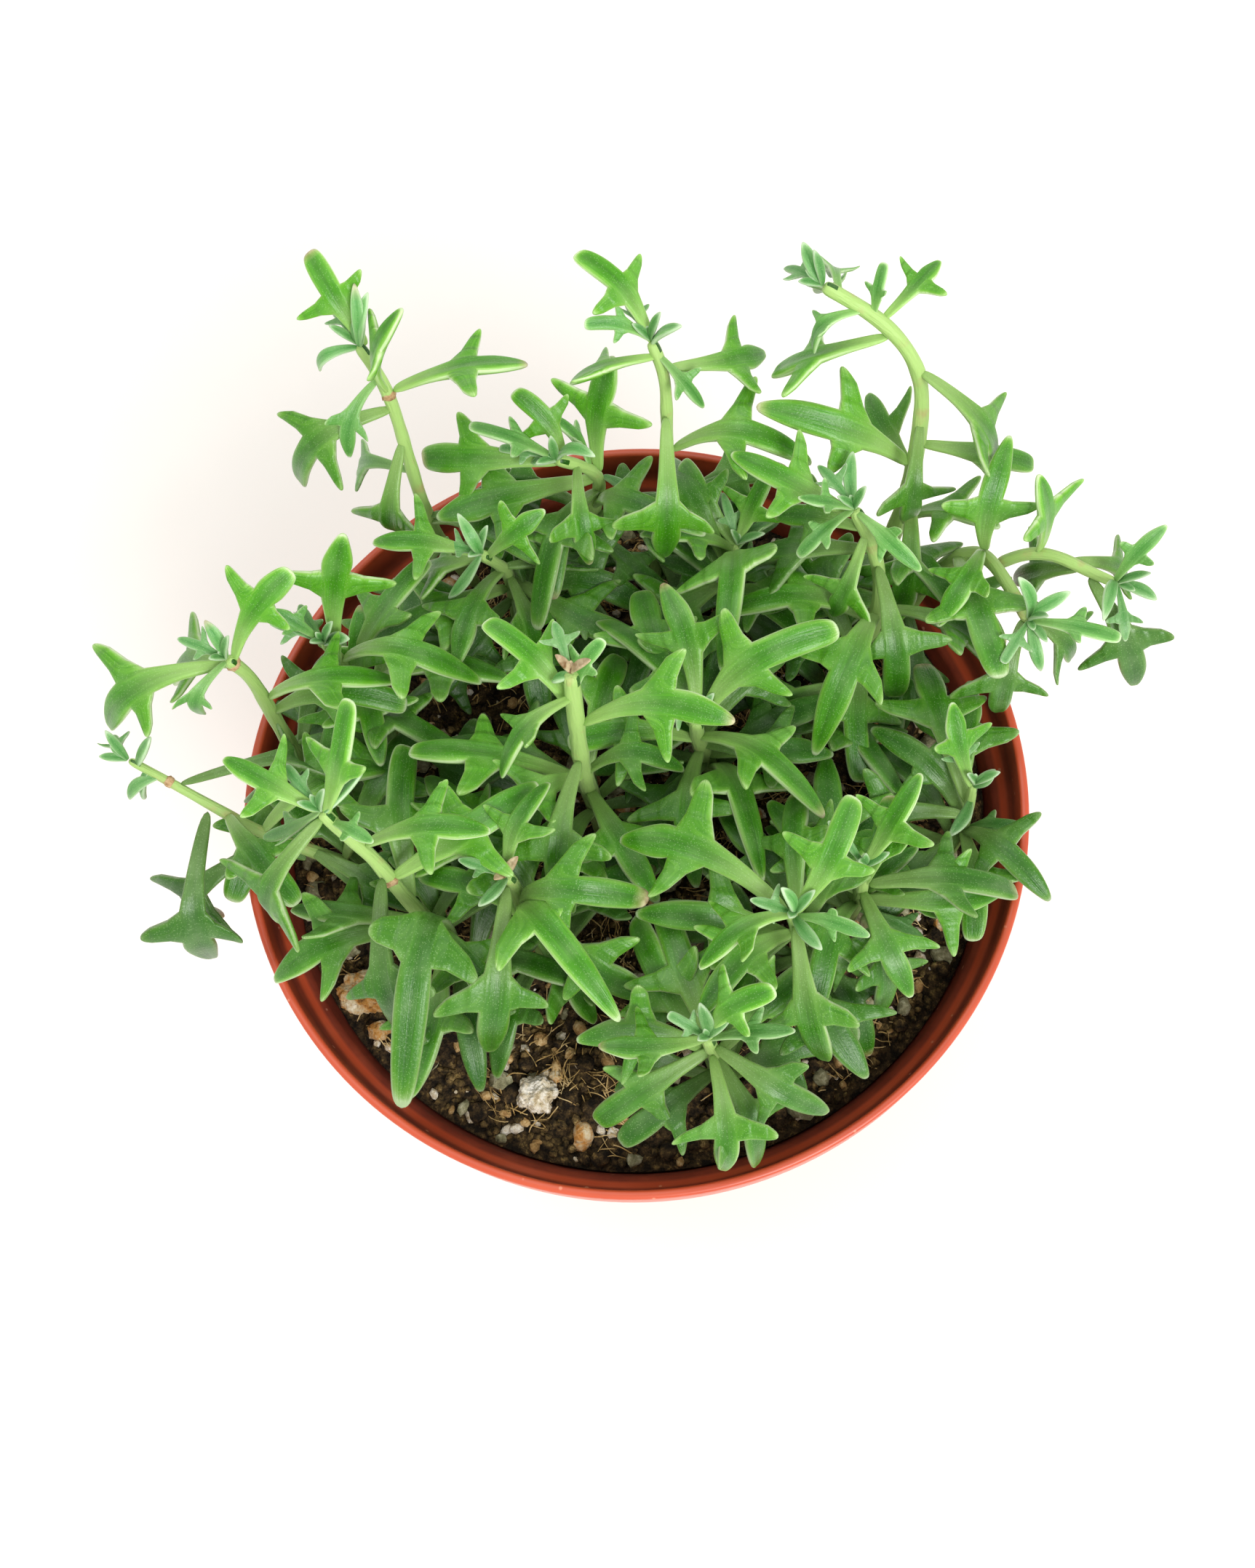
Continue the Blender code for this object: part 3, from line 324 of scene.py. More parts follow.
# %% Make a piece
def piece_from(bm, name, finishes, stands_for=(), subdivisions=0):
    """Turn a bmesh into a finished piece on the root body."""
    mesh = bpy.data.meshes.new(name)
    bm.to_mesh(mesh)
    bm.free()
    made = link(name, mesh)
    for finish in finishes:
        mesh.materials.append(finish)
    mesh.shade_smooth()
    if subdivisions:
        smooth = made.modifiers.new("smooth", "SUBSURF")
        smooth.levels = subdivisions
        smooth.render_levels = subdivisions
    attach(made, "root")
    if stands_for:
        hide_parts(*stands_for)
    return made


# %% [markdown]
# ## The pot
# A vacuum-formed pot is one sheet of plastic, so its section is one line: up the inside, over the lip and
# down the outside. Turning that line once round with the spin operator gives the pot. Its sizes are those
# of the design's own pot, apart from the ledge, which slopes here.

# %% The pot's section
RIM_RADIUS = 65.0 * MM
FOOT_RADIUS = 46.0 * MM
POT_HEIGHT = 100.0 * MM
POT_WALL = 1.5 * MM
POT_FLOOR = 2.0 * MM
COLLAR_DEPTH = 7.6 * MM
COLLAR_STEP = 2.3 * MM
COLLAR_DRAFT = 0.4 * MM
LEDGE = POT_HEIGHT - COLLAR_DEPTH
LEDGE_FALL = 1.8 * MM                # the moulded ledge slopes down to the wall
LEDGE_RISE = 0.4 * MM                # and up to the collar
WELD = 0.01 * MM                     # points closer than this are one point
TURNS = 192                          # steps round the pot


def wall_radius(height):
    """Inner radius of the pot's tapering wall, below the ledge."""
    top = RIM_RADIUS - POT_WALL - COLLAR_DRAFT - COLLAR_STEP
    bottom = FOOT_RADIUS - POT_WALL
    return bottom + (top - bottom) * (height - POT_FLOOR) / (LEDGE - POT_FLOOR)


def rounded(corner, before, after, size, steps=4):
    """Points of an arc-like bend that replaces a corner of the section."""
    corner, before, after = Vector(corner), Vector(before), Vector(after)
    start = corner + (before - corner).normalized() * size
    end = corner + (after - corner).normalized() * size
    shares = [i / steps for i in range(steps + 1)]
    return [start * (1 - t) ** 2 + corner * 2 * t * (1 - t) + end * t ** 2 for t in shares]


def section_of_pot():
    """The section from the middle of the floor, over the lip, to the middle of the foot."""
    inner = RIM_RADIUS - POT_WALL
    corners = [                          # radius, height, and the size of the bend in mm
        (0, POT_FLOOR, 0), (wall_radius(POT_FLOOR), POT_FLOOR, 2.0),
        (wall_radius(LEDGE - LEDGE_FALL), LEDGE - LEDGE_FALL, 1.0),
        (inner - COLLAR_DRAFT, LEDGE + LEDGE_RISE, 1.8),
        (inner, POT_HEIGHT, 0.7), (RIM_RADIUS, POT_HEIGHT, 0.7),
        (RIM_RADIUS - COLLAR_DRAFT, LEDGE - POT_WALL, 0.5),
        (wall_radius(LEDGE) + POT_WALL, LEDGE - POT_WALL, 0.5), (FOOT_RADIUS, 0, 1.2), (0, 0, 0)]
    line = [Vector(corners[0][:2])]
    for before, corner, after in zip(corners, corners[1:], corners[2:]):
        line += rounded(corner[:2], before[:2], after[:2], corner[2] * MM)
    return line + [Vector(corners[-1][:2])]


# %% Turn the pot and drill its drain holes
DRAIN_HOLES = 8
DRAIN_RADIUS = 3.5 * MM
DRAIN_CIRCLE = 33.0 * MM


def drilled(mesh, name):
    """Cut the drain holes through the floor and return the cut mesh."""
    pot = link(name, mesh)
    cutters = bpy.data.collections.new("drain_cutters")
    bpy.context.scene.collection.children.link(cutters)
    for i in range(DRAIN_HOLES):
        angle = 2 * math.pi * (i + 0.5) / DRAIN_HOLES
        spot = Vector((math.cos(angle) * DRAIN_CIRCLE, math.sin(angle) * DRAIN_CIRCLE, 0))
        bm = bmesh.new()
        bmesh.ops.create_cone(bm, cap_ends=True, segments=32, radius1=DRAIN_RADIUS, radius2=DRAIN_RADIUS,
                              depth=4 * POT_FLOOR, matrix=Matrix.Translation(spot))
        hole = bpy.data.meshes.new("hole")
        bm.to_mesh(hole)
        bm.free()
        cutters.objects.link(bpy.data.objects.new(f"drain_{i}", hole))
    boolean = pot.modifiers.new("holes", "BOOLEAN")
    boolean.operand_type = "COLLECTION"
    boolean.collection = cutters
    bpy.context.view_layer.update()
    cut = bpy.data.meshes.new_from_object(pot.evaluated_get(bpy.context.evaluated_depsgraph_get()))
    for used in list(cutters.objects) + [pot]:
        bpy.data.objects.remove(used)
    bpy.data.collections.remove(cutters)
    return cut


# %% Make the pot
def make_pot():
    bm = bmesh.new()
    line = [bm.verts.new((point.x, 0, point.y)) for point in section_of_pot()]
    edges = [bm.edges.new(pair) for pair in zip(line, line[1:])]
    bmesh.ops.spin(bm, geom=line + edges, cent=(0, 0, 0), axis=(0, 0, 1), angle=2 * math.pi, steps=TURNS,
                   use_merge=True)
    bmesh.ops.remove_doubles(bm, verts=bm.verts, dist=WELD)
    bmesh.ops.recalc_face_normals(bm, faces=bm.faces)
    mesh = bpy.data.meshes.new("pot_turned")
    bm.to_mesh(mesh)
    bm.free()
    bm = bmesh.new()
    bm.from_mesh(drilled(mesh, "pot_turned"))
    inner = bm.verts.layers.float.new("inner")
    for vert in bm.verts:
        radius = vert.co.xy.length
        inside = radius < RIM_RADIUS - POT_WALL - 0.1 * MM and vert.co.z > POT_FLOOR / 2
        on_outside = vert.co.z < LEDGE and radius > wall_radius(vert.co.z) + POT_WALL / 2
        vert[inner] = 1.0 if inside and not on_outside else 0.0
    pot = piece_from(bm, "nursery_pot", [PLASTIC], ["pot"])
    pot.data.set_sharp_from_angle(angle=math.radians(50))
    return pot


pot = make_pot()
print("pot has", len(pot.data.polygons), "faces; its lip is", round(2 * RIM_RADIUS / MM), "mm across")

# %% [markdown]
# ## Where everything grows
# The stems' routes and the leaves' wishes are the same as in the design. Places are in millimetres: x to
# the right, y to the back, z above the soil. A leaf is its kind, how far along its stem it grows, where
# its tip would like to be, and how high it arches. Each leaf then settles in the nearest free place, as a
# growing leaf does, so this script has to follow the design's own rules for it, number for number.

# %% The shoots at the back and on the right
OWN = "own"                          # a full leaf that is a node of its own
JOINED = "joined"                    # a full leaf joined to its stem
SMALL = "small"                      # half grown, with short fins
YOUNG = "young"                      # narrow and without fins, at a shoot's tip

SHOOTS = {
    "back_left": dict(thickness=(2.6, 1.8), route=[
        (-29, 45, 0), (-33, 47, 12), (-34, 47, 26), (-35, 51, 40), (-36, 55, 49), (-38, 58, 54),
        (-40, 60, 56)],
        leaves=[
            (OWN, 0.98, (-46, 70, 66), 0.10), (OWN, 0.85, (-14, 58, 52), 0.12),
            (JOINED, 0.85, (-31, 59, 67), 0.05), (JOINED, 0.80, (-53, 48, 34), 0.30),
            (JOINED, 0.70, (-38, 46, 22), 0.35), (SMALL, 0.90, (-43, 47, 44), 0.20),
            (SMALL, 0.58, (-46, 56, 20), 0.20), (YOUNG, 0.99, (-39, 65, 64), 0.10),
            (YOUNG, 0.99, (-37, 64, 60), 0.10), (YOUNG, 0.99, (-47, 59, 50), 0.35)]),
    "back": dict(thickness=(2.6, 1.8), route=[
        (2, 37, 0), (4, 43, 10), (6, 48, 24), (7, 53, 37), (7, 56, 45), (7, 59, 50), (5, 61, 53)],
        leaves=[
            (OWN, 0.78, (6, 37, 26), 0.35), (OWN, 0.64, (30, 47, 38), 0.25),
            (JOINED, 0.99, (-6, 71, 62), 0.10), (JOINED, 0.95, (-8, 58, 46), 0.20),
            (JOINED, 0.91, (23, 66, 40), 0.10), (SMALL, 1.00, (-5, 61, 58), 0.10),
            (SMALL, 0.96, (13, 53, 46), 0.10), (YOUNG, 0.99, (10, 59, 60), 0.10)]),
    "back_right": dict(thickness=(3.2, 2.0), route=[
        (40, 35, 0), (43, 42, 12), (46, 47, 25), (47, 51, 38), (47, 55, 47), (45, 57, 53), (41, 60, 57),
        (36, 62, 60), (31, 64, 62)],
        leaves=[
            (OWN, 0.82, (24, 60, 44), 0.12), (OWN, 0.47, (21, 53, 46), 0.15),
            (JOINED, 0.72, (58, 46, 36), 0.35), (JOINED, 0.59, (46, 42, 28), 0.40),
            (JOINED, 0.86, (49, 69, 60), 0.10), (JOINED, 0.45, (40, 64, 30), 0.10),
            (JOINED, 0.53, (66, 49, 32), 0.15), (JOINED, 0.29, (60, 38, 32), 0.15),
            (SMALL, 0.96, (33, 72, 52), 0.20), (SMALL, 0.88, (40, 65, 66), 0.10),
            (SMALL, 0.90, (30, 58, 48), 0.40), (SMALL, 0.93, (31, 72, 48), 0.10),
            (YOUNG, 1.00, (28, 69, 66), 0.10)]),
    "right": dict(thickness=(3.0, 2.0), route=[
        (45, 31, 0), (47, 34, 11), (52, 37, 21), (57, 37, 27), (60, 30, 31), (62, 24, 33), (63, 21, 34)],
        leaves=[
            (OWN, 0.97, (60, 12, 18), 0.40), (OWN, 0.66, (60, 47, 44), 0.15),
            (JOINED, 0.29, (61, 22, 20), 0.30), (JOINED, 0.64, (49, 21, 32), 0.30),
            (JOINED, 0.99, (71, 19, 22), 0.20), (SMALL, 1.00, (76, 16, 38), 0.10),
            (YOUNG, 0.99, (60, 24, 44), 0.10), (YOUNG, 1.00, (65, 14, 30), 0.20),
            (YOUNG, 0.98, (69, 24, 38), 0.10)]),
    "right_fork": dict(thickness=(2.2, 1.6), fork="right", route=[
        (60, 34, 27), (63, 34, 31), (66, 34, 33), (70, 31, 34), (74, 28, 34), (77, 27, 34)],
        leaves=[
            (OWN, 0.79, (82, 16, 18), 0.20), (JOINED, 0.37, (63, 38, 50), 0.10),
            (JOINED, 0.62, (81, 32, 22), 0.20), (JOINED, 0.73, (64, 35, 18), 0.10),
            (SMALL, 0.98, (83, 32, 44), 0.15), (YOUNG, 1.00, (83, 24, 34), 0.10),
            (YOUNG, 0.98, (73, 18, 38), 0.20)]),
}

# %% The shoots in the middle and on the left
SHOOTS |= {
    "inner_right": dict(thickness=(2.8, 2.0), route=[
        (30, 15, 0), (33, 18, 6), (37, 21, 13), (40, 25, 20), (41, 31, 28), (39, 34, 36), (36, 37, 42)],
        leaves=[
            (OWN, 0.97, (17, 46, 42), 0.12), (OWN, 0.77, (43, 14, 20), 0.35),
            (JOINED, 0.55, (33, 1, 24), 0.40), (JOINED, 0.90, (33, 26, 26), 0.20),
            (JOINED, 0.82, (22, 40, 18), 0.20), (JOINED, 0.91, (24, 41, 32), 0.10),
            (SMALL, 1.00, (27, 36, 48), 0.10), (SMALL, 1.00, (27, 29, 42), 0.20),
            (SMALL, 0.99, (46, 27, 40), 0.15), (YOUNG, 0.99, (36, 46, 44), 0.10)]),
    "upper_middle": dict(thickness=(2.6, 1.8), route=[
        (-10, 41, 0), (-9, 46, 10), (-6, 49, 20), (-4, 51, 28), (-7, 50, 34), (-11, 49, 38)],
        leaves=[
            (OWN, 0.94, (-34, 54, 30), 0.15), (OWN, 0.70, (-31, 42, 34), 0.15),
            (OWN, 0.49, (15, 36, 18), 0.30),
            (JOINED, 0.95, (-17, 57, 46), 0.10), (JOINED, 0.74, (-1, 61, 52), 0.05),
            (JOINED, 0.89, (-6, 35, 28), 0.40), (SMALL, 0.99, (-24, 51, 46), 0.10),
            (SMALL, 0.80, (-12, 55, 42), 0.10), (YOUNG, 0.71, (2, 46, 24), 0.20),
            (YOUNG, 0.99, (-4, 46, 44), 0.20), (YOUNG, 0.99, (-15, 49, 34), 0.20)]),
    "middle_left": dict(thickness=(2.4, 1.8), route=[
        (-19, 31, 0), (-20, 34, 9), (-20, 37, 20), (-21, 35, 29), (-23, 34, 35)],
        leaves=[
            (OWN, 1.00, (-40, 35, 38), 0.15), (OWN, 0.48, (-42, 23, 26), 0.20),
            (JOINED, 0.94, (-12, 38, 42), 0.15), (JOINED, 0.62, (-16, 22, 14), 0.35),
            (JOINED, 0.96, (-35, 35, 20), 0.10), (YOUNG, 1.00, (-26, 38, 42), 0.10),
            (YOUNG, 1.00, (-29, 29, 32), 0.10)]),
    "centre": dict(thickness=(3.0, 2.4), route=[
        (-5, -4, 0), (-6, -1, 10), (-7, 0, 24), (-7, 2, 37), (-7, 5, 46), (-7, 7, 51)],
        leaves=[
            (OWN, 0.84, (-20, 16, 50), 0.15), (OWN, 0.61, (-9, -22, 22), 0.35),
            (OWN, 0.78, (17, 0, 48), 0.15),
            (OWN, 0.42, (-34, 2, 32), 0.15), (JOINED, 0.90, (-18, -6, 42), 0.30),
            (JOINED, 0.47, (9, 0, 26), 0.40), (SMALL, 0.88, (-2, 11, 54), 0.10),
            (YOUNG, 0.99, (-10, 7, 48), 0.10)]),
    "left": dict(thickness=(2.8, 2.0), route=[
        (-25, -32, 0), (-28, -28, 7), (-31, -23, 17), (-35, -20, 28), (-38, -16, 36), (-42, -14, 42),
        (-44, -12, 46)],
        leaves=[
            (OWN, 0.99, (-58, -5, 50), 0.15), (OWN, 0.70, (-33, -41, 18), 0.30),
            (OWN, 0.82, (-19, -15, 44), 0.15),
            (JOINED, 0.98, (-53, -24, 28), 0.30), (JOINED, 0.98, (-38, 1, 58), 0.10),
            (JOINED, 0.66, (-13, -5, 36), 0.12), (JOINED, 0.36, (-57, -31, 16), 0.25),
            (JOINED, 0.14, (-34, -53, 16), 0.50), (SMALL, 1.00, (-55, -13, 42), 0.10),
            (SMALL, 0.95, (-36, -17, 46), 0.15), (YOUNG, 0.99, (-37, -7, 50), 0.10)]),
    "far_left": dict(thickness=(2.8, 1.2), route=[
        (-37, -15, 0), (-43, -12, 9), (-50, -10, 16), (-57, -9, 22), (-64, -6, 27), (-70, -3, 30),
        (-74, -1, 32), (-78, 1, 33)],
        leaves=[
            (OWN, 0.74, (-68, -26, 12), 0.45), (JOINED, 0.85, (-64, -1, 16), 1.10),
            (JOINED, 0.53, (-69, -17, 6), 0.60), (YOUNG, 0.94, (-77, -3, 26), 0.20),
            (YOUNG, 0.97, (-73, 3, 38), 0.10), (YOUNG, 0.90, (-79, -4, 28), 0.20)]),
    "left_up": dict(thickness=(3.0, 2.0), route=[
        (-50, 0, 0), (-53, 4, 8), (-56, 8, 18), (-58, 12, 29), (-59, 14, 37), (-61, 14, 42)],
        leaves=[
            (OWN, 0.97, (-83, 8, 28), 0.25), (OWN, 0.71, (-36, 14, 32), 0.45),
            (JOINED, 0.96, (-49, 24, 52), 0.10), (JOINED, 0.94, (-75, 18, 24), 0.20),
            (SMALL, 0.99, (-66, 8, 32), 0.20), (YOUNG, 1.00, (-63, 18, 48), 0.10)]),
    "small_left": dict(thickness=(2.2, 1.6), route=[
        (-39, 14, 0), (-42, 16, 9), (-45, 19, 20), (-47, 20, 28), (-48, 20, 33)],
        leaves=[
            (OWN, 0.89, (-42, 31, 50), 0.05), (JOINED, 0.57, (-43, 28, 34), 0.10),
            (JOINED, 0.77, (-50, 5, 18), 0.20), (SMALL, 0.83, (-54, 30, 26), 0.10),
            (SMALL, 1.00, (-55, 23, 40), 0.10), (YOUNG, 0.99, (-43, 19, 38), 0.10)]),
}

# %% The shoots in front and the last ones
SHOOTS |= {
    "lower_middle": dict(thickness=(2.6, 2.0), route=[
        (-13, -28, 0), (-15, -24, 9), (-17, -21, 19), (-17, -19, 28), (-18, -19, 34)],
        leaves=[
            (OWN, 0.96, (-25, -42, 18), 0.35), (JOINED, 0.51, (-6, -37, 10), 0.30),
            (JOINED, 0.73, (7, -26, 20), 0.15), (JOINED, 0.99, (-13, -5, 36), 0.10),
            (JOINED, 0.92, (-30, -4, 20), 0.10), (YOUNG, 0.99, (-22, -24, 34), 0.10)]),
    "lower_right": dict(thickness=(2.6, 2.0), route=[
        (29, -28, 0), (27, -26, 12), (26, -26, 25), (25, -26, 36)],
        leaves=[
            (OWN, 0.97, (-1, -13, 32), 0.15), (OWN, 0.93, (30, -45, 20), 0.30),
            (JOINED, 0.99, (34, -11, 46), 0.15), (JOINED, 1.00, (11, -35, 40), 0.15),
            (JOINED, 0.70, (16, -35, 18), 0.20), (JOINED, 0.58, (38, -31, 14), 0.25),
            (SMALL, 0.97, (36, -30, 38), 0.15), (YOUNG, 0.97, (29, -32, 38), 0.10),
            (YOUNG, 1.00, (23, -24, 44), 0.10)]),
    "bottom": dict(thickness=(2.6, 2.0), route=[
        (14, -48, 0), (14, -45, 10), (13, -44, 20), (12, -43, 29)],
        leaves=[
            (OWN, 0.88, (30, -53, 20), 0.25), (OWN, 0.81, (14, -61, 16), 0.40),
            (JOINED, 0.97, (22, -38, 40), 0.15), (JOINED, 1.00, (-4, -45, 34), 0.15),
            (JOINED, 0.70, (19, -60, 9), 0.30), (JOINED, 0.79, (-3, -57, 15), 0.20),
            (SMALL, 0.98, (25, -43, 32), 0.15), (YOUNG, 1.00, (11, -39, 36), 0.10)]),
    "low_right": dict(thickness=(2.4, 1.8), route=[
        (34, -22, 0), (35, -20, 11), (36, -20, 23), (36, -18, 33)],
        leaves=[
            (OWN, 0.82, (60, -20, 24), 0.15), (JOINED, 1.00, (44, -7, 44), 0.15),
            (JOINED, 0.76, (44, -36, 26), 0.30), (JOINED, 0.70, (39, -37, 16), 0.25),
            (JOINED, 0.52, (45, -13, 26), 0.15), (JOINED, 0.52, (51, -15, 18), 0.15),
            (SMALL, 0.47, (47, -26, 12), 0.20)]),
    "right_edge": dict(thickness=(2.0, 1.4), route=[
        (52, -8, 0), (54, -6, 9), (54, -5, 19), (54, -3, 26)],
        leaves=[
            (JOINED, 0.95, (50, 7, 36), 0.10), (JOINED, 0.40, (66, -20, 18), 0.30),
            (SMALL, 0.36, (63, -8, 18), 0.15), (YOUNG, 0.98, (57, -2, 30), 0.10),
            (YOUNG, 0.83, (50, -11, 24), 0.10)]),
    "centre_right": dict(thickness=(2.8, 2.2), route=[
        (14, 5, 0), (13, 6, 10), (11, 7, 21), (11, 7, 30)],
        leaves=[
            (OWN, 0.95, (33, 17, 42), 0.20), (JOINED, 0.62, (26, 0, 14), 0.30),
            (JOINED, 1.00, (6, 27, 38), 0.15), (JOINED, 0.80, (2, 32, 24), 0.20)]),
    "back_middle": dict(thickness=(2.0, 1.6), route=[
        (15, 34, 0), (16, 38, 11), (18, 41, 22)],
        leaves=[
            (JOINED, 1.00, (24, 50, 32), 0.10), (JOINED, 0.92, (2, 39, 20), 0.15),
            (JOINED, 0.97, (9, 54, 26), 0.10), (JOINED, 0.51, (34, 36, 10), 0.40),
            (SMALL, 0.91, (25, 45, 20), 0.15)]),
}

# %% [markdown]
# ### Lines, thickness and the plain leaf
# A smooth curve through a stem's points gives its middle line. The plain leaf is the rough one of the
# design: it is only used to find out which places are free.

# %% Stem lines
SOIL_DROP = 12.0 * MM                # from the lip down to the soil
SOIL_TOP = POT_HEIGHT - SOIL_DROP
ROOT_DEPTH = 12.0 * MM               # how deep a stem stands in the soil
GAP = 0.3 * MM                       # clearance between two pieces that touch
BLADE_HALF_WIDTH = 2.4 * MM
BLADE_THICKNESS = 2.2 * MM
LEAF_LENGTH = 24.0 * MM
FIN_REACH = 7.6 * MM
YOUNG_HALF_WIDTH = 1.1 * MM
YOUNG_THICKNESS = 1.3 * MM
STEM_SIDES = 6
STEM_SPACING = 6.0 * MM              # between the rings of a plain stem
STEM_SCALE = 1.0                     # on every shoot's own thickness
FORK_GAP = 0.2 * MM                  # between a fork's middle line and its parent's, beyond their two radii
SMALL_WIDTH = 0.8                    # of a full leaf's width and thickness, on a small leaf
SMALL_REACH = 0.55                   # of a full leaf's fins
LEAF_MARGIN = 0.06 * MM              # kept free around a leaf, on top of half a GAP
LEAF_SLIT = 0.3 * MM                 # between a stem's skin and a leaf of its own, on top of GAP
TIP_SHARE = 0.985                    # from here on a leaf grows out of its stem's tip
LOWER_LEAVES = 2                     # wanted on each stem that roots in the soil
LOWER_REACH = 22.0 * MM              # from the stem to the leaf's tip, seen from above
GOLDEN_ANGLE = 137.5                 # degrees from one leaf to the next
LOWER_MARGIN = 5.0 * MM              # from such a leaf's tip to the outside of the lip


def above_soil(point):
    """A place of SHOOTS in metres."""
    return Vector((point[0] * MM, point[1] * MM, SOIL_TOP + point[2] * MM))


def catmull_rom(a, b, c, d, t):
    """The point at t between b and c on a smooth curve through a, b, c and d."""
    bend = (2 * a - 5 * b + 4 * c - d) * t ** 2
    return 0.5 * (2 * b + (c - a) * t + bend + (3 * b - a - 3 * c + d) * t ** 3)


def off_parent(start, shoot):
    """A fork's first point, moved straight out from its parent's line until the two stems just miss."""
    parent = SHOOTS[shoot["fork"]]
    line = stem_line(parent)
    feet = []
    for i in range(len(line) - 1):
        foot, share = intersect_point_line(start, line[i], line[i + 1])
        share = min(1.0, max(0.0, share))
        foot = line[i].lerp(line[i + 1], share)
        feet.append(((start - foot).length, foot, (i + share) / (len(line) - 1)))
    _, foot, along = min(feet, key=lambda entry: entry[0])
    clear = stem_radius(parent, along) + stem_radius(shoot, 0) + FORK_GAP
    return foot + (start - foot).normalized() * clear


def stem_line(shoot):
    """The middle line of a stem above its root, as evenly spaced points on a smooth curve."""
    guide = [above_soil(point) for point in shoot["route"]]
    if shoot.get("fork"):
        guide[0] = off_parent(guide[0], shoot)
    else:
        guide[0].z += MM
    before = 2 * guide[0] - guide[1]
    after = 2 * guide[-1] - guide[-2]
    padded = [before] + guide + [after]
    fine = []
    for i in range(len(guide) - 1):
        fine += [catmull_rom(*padded[i:i + 4], step / 8) for step in range(8)]
    fine.append(guide[-1])
    lengths = [0.0]
    for a, b in zip(fine, fine[1:]):
        lengths.append(lengths[-1] + (b - a).length)
    count = max(4, round(lengths[-1] / STEM_SPACING))
    line = []
    for k in range(count + 1):
        want = lengths[-1] * k / count
        i = min(sum(1 for length in lengths[1:] if length < want), len(fine) - 2)
        share = (want - lengths[i]) / (lengths[i + 1] - lengths[i])
        line.append(fine[i].lerp(fine[i + 1], share))
    return line


def point_on(line, along):
    """The place and direction at a share of an evenly spaced line."""
    where = along * (len(line) - 1)
    i = min(int(where), len(line) - 2)
    return line[i].lerp(line[i + 1], where - i), (line[i + 1] - line[i]).normalized()


def stem_radius(shoot, along):
    """Half the stem's thickness at a share of its length."""
    thick, thin = shoot["thickness"]
    return (thick + (thin - thick) * along) * MM / 2 * STEM_SCALE


# %% The plain leaf's sizes
def leaf_sizes(kind, length, number):
    """Half width, thickness, fin reach and where the fins start, for a leaf of this kind and length."""
    share = length / LEAF_LENGTH
    if kind == YOUNG:
        return YOUNG_HALF_WIDTH, YOUNG_THICKNESS, 0.0, 0.45
    plump = min(1.15, max(0.6, share ** 0.6))
    reach = FIN_REACH * plump * (0.9 + 0.05 * (number * 7 % 5))
    if kind == SMALL:
        plump *= SMALL_WIDTH
        reach *= SMALL_REACH
    return BLADE_HALF_WIDTH * plump, BLADE_THICKNESS * plump, reach, 0.37 + 0.04 * (number * 5 % 4)


# %% A straight plain leaf
def straight_leaf(kind, length, number, extra):
    """A leaf lying straight: x runs from 0 at its base to 1 at its tip, y across and z up, both in metres.

    It starts as a cube. Its end face is extruded from station to station, and the fins from two side faces.
    """
    half, thick, reach, fin_start = leaf_sizes(kind, length, number)
    blunt = 0.55 if number % 3 == 1 else 0.25
    if kind == YOUNG:
        stations = [(0.0, 0.5, 0.7), (fin_start, 1.0, 1.0), (1.0, 0.2, 0.4)]
    else:
        stations = [(0.0, 0.40, 0.55), (fin_start, 0.78, 0.9), (fin_start + 0.16, 0.95, 1.0),
                    (0.85, 0.9, 0.85), (1.0, blunt, 0.4)]
    bm = bmesh.new()
    bmesh.ops.create_cube(bm, size=1)

    def set_ring(verts, station):
        for vert in verts:
            side, level = math.copysign(1, vert.co.y), math.copysign(1, vert.co.z)
            wide, deep = half * station[1] + extra, thick / 2 * station[2] + extra
            vert.co = (station[0], side * wide, level * deep)

    set_ring([vert for vert in bm.verts if vert.co.x < 0], stations[0])
    end = [vert for vert in bm.verts if vert.co.x > 0]
    set_ring(end, stations[1])
    for station in stations[2:]:
        cap = next(face for face in bm.faces if all(vert in end for vert in face.verts))
        end = bmesh.ops.extrude_discrete_faces(bm, faces=[cap])["faces"][0].verts[:]
        set_ring(end, station)
    if reach:
        add_fins(bm, stations, reach, number, extra, length)
    return bm


# %% Its fins
def add_fins(bm, stations, reach, number, extra, length):
    """Draw a fin out of each side of the leaf between its second and third stations."""
    middle = (stations[1][0] + stations[2][0]) / 2
    for side in (-1, 1):
        root = next(face for face in bm.faces if abs(face.normal.z) < 0.5 and face.normal.y * side > 0.5
                    and abs(face.calc_center_median().x - middle) < 0.01)
        out = reach * (1.0 if (number + side) % 3 else 0.8) + extra
        forward = 0.05 + 0.03 * ((number * 3 + side) % 4)
        tip = bmesh.ops.extrude_discrete_faces(bm, faces=[root])["faces"][0]
        for vert in tip.verts:
            ahead = vert.co.x - middle
            vert.co.x = middle + forward + ahead * 0.3 + math.copysign(extra / length, ahead)
            vert.co.y = side * out
            vert.co.z *= 0.5


def leaf_parts(kind, length, number, extra):
    """The points and faces of a straight leaf."""
    bm = straight_leaf(kind, length, number, extra)
    points = [vert.co.copy() for vert in bm.verts]
    faces = [tuple(vert.index for vert in face.verts) for face in bm.faces]
    bm.free()
    return points, faces


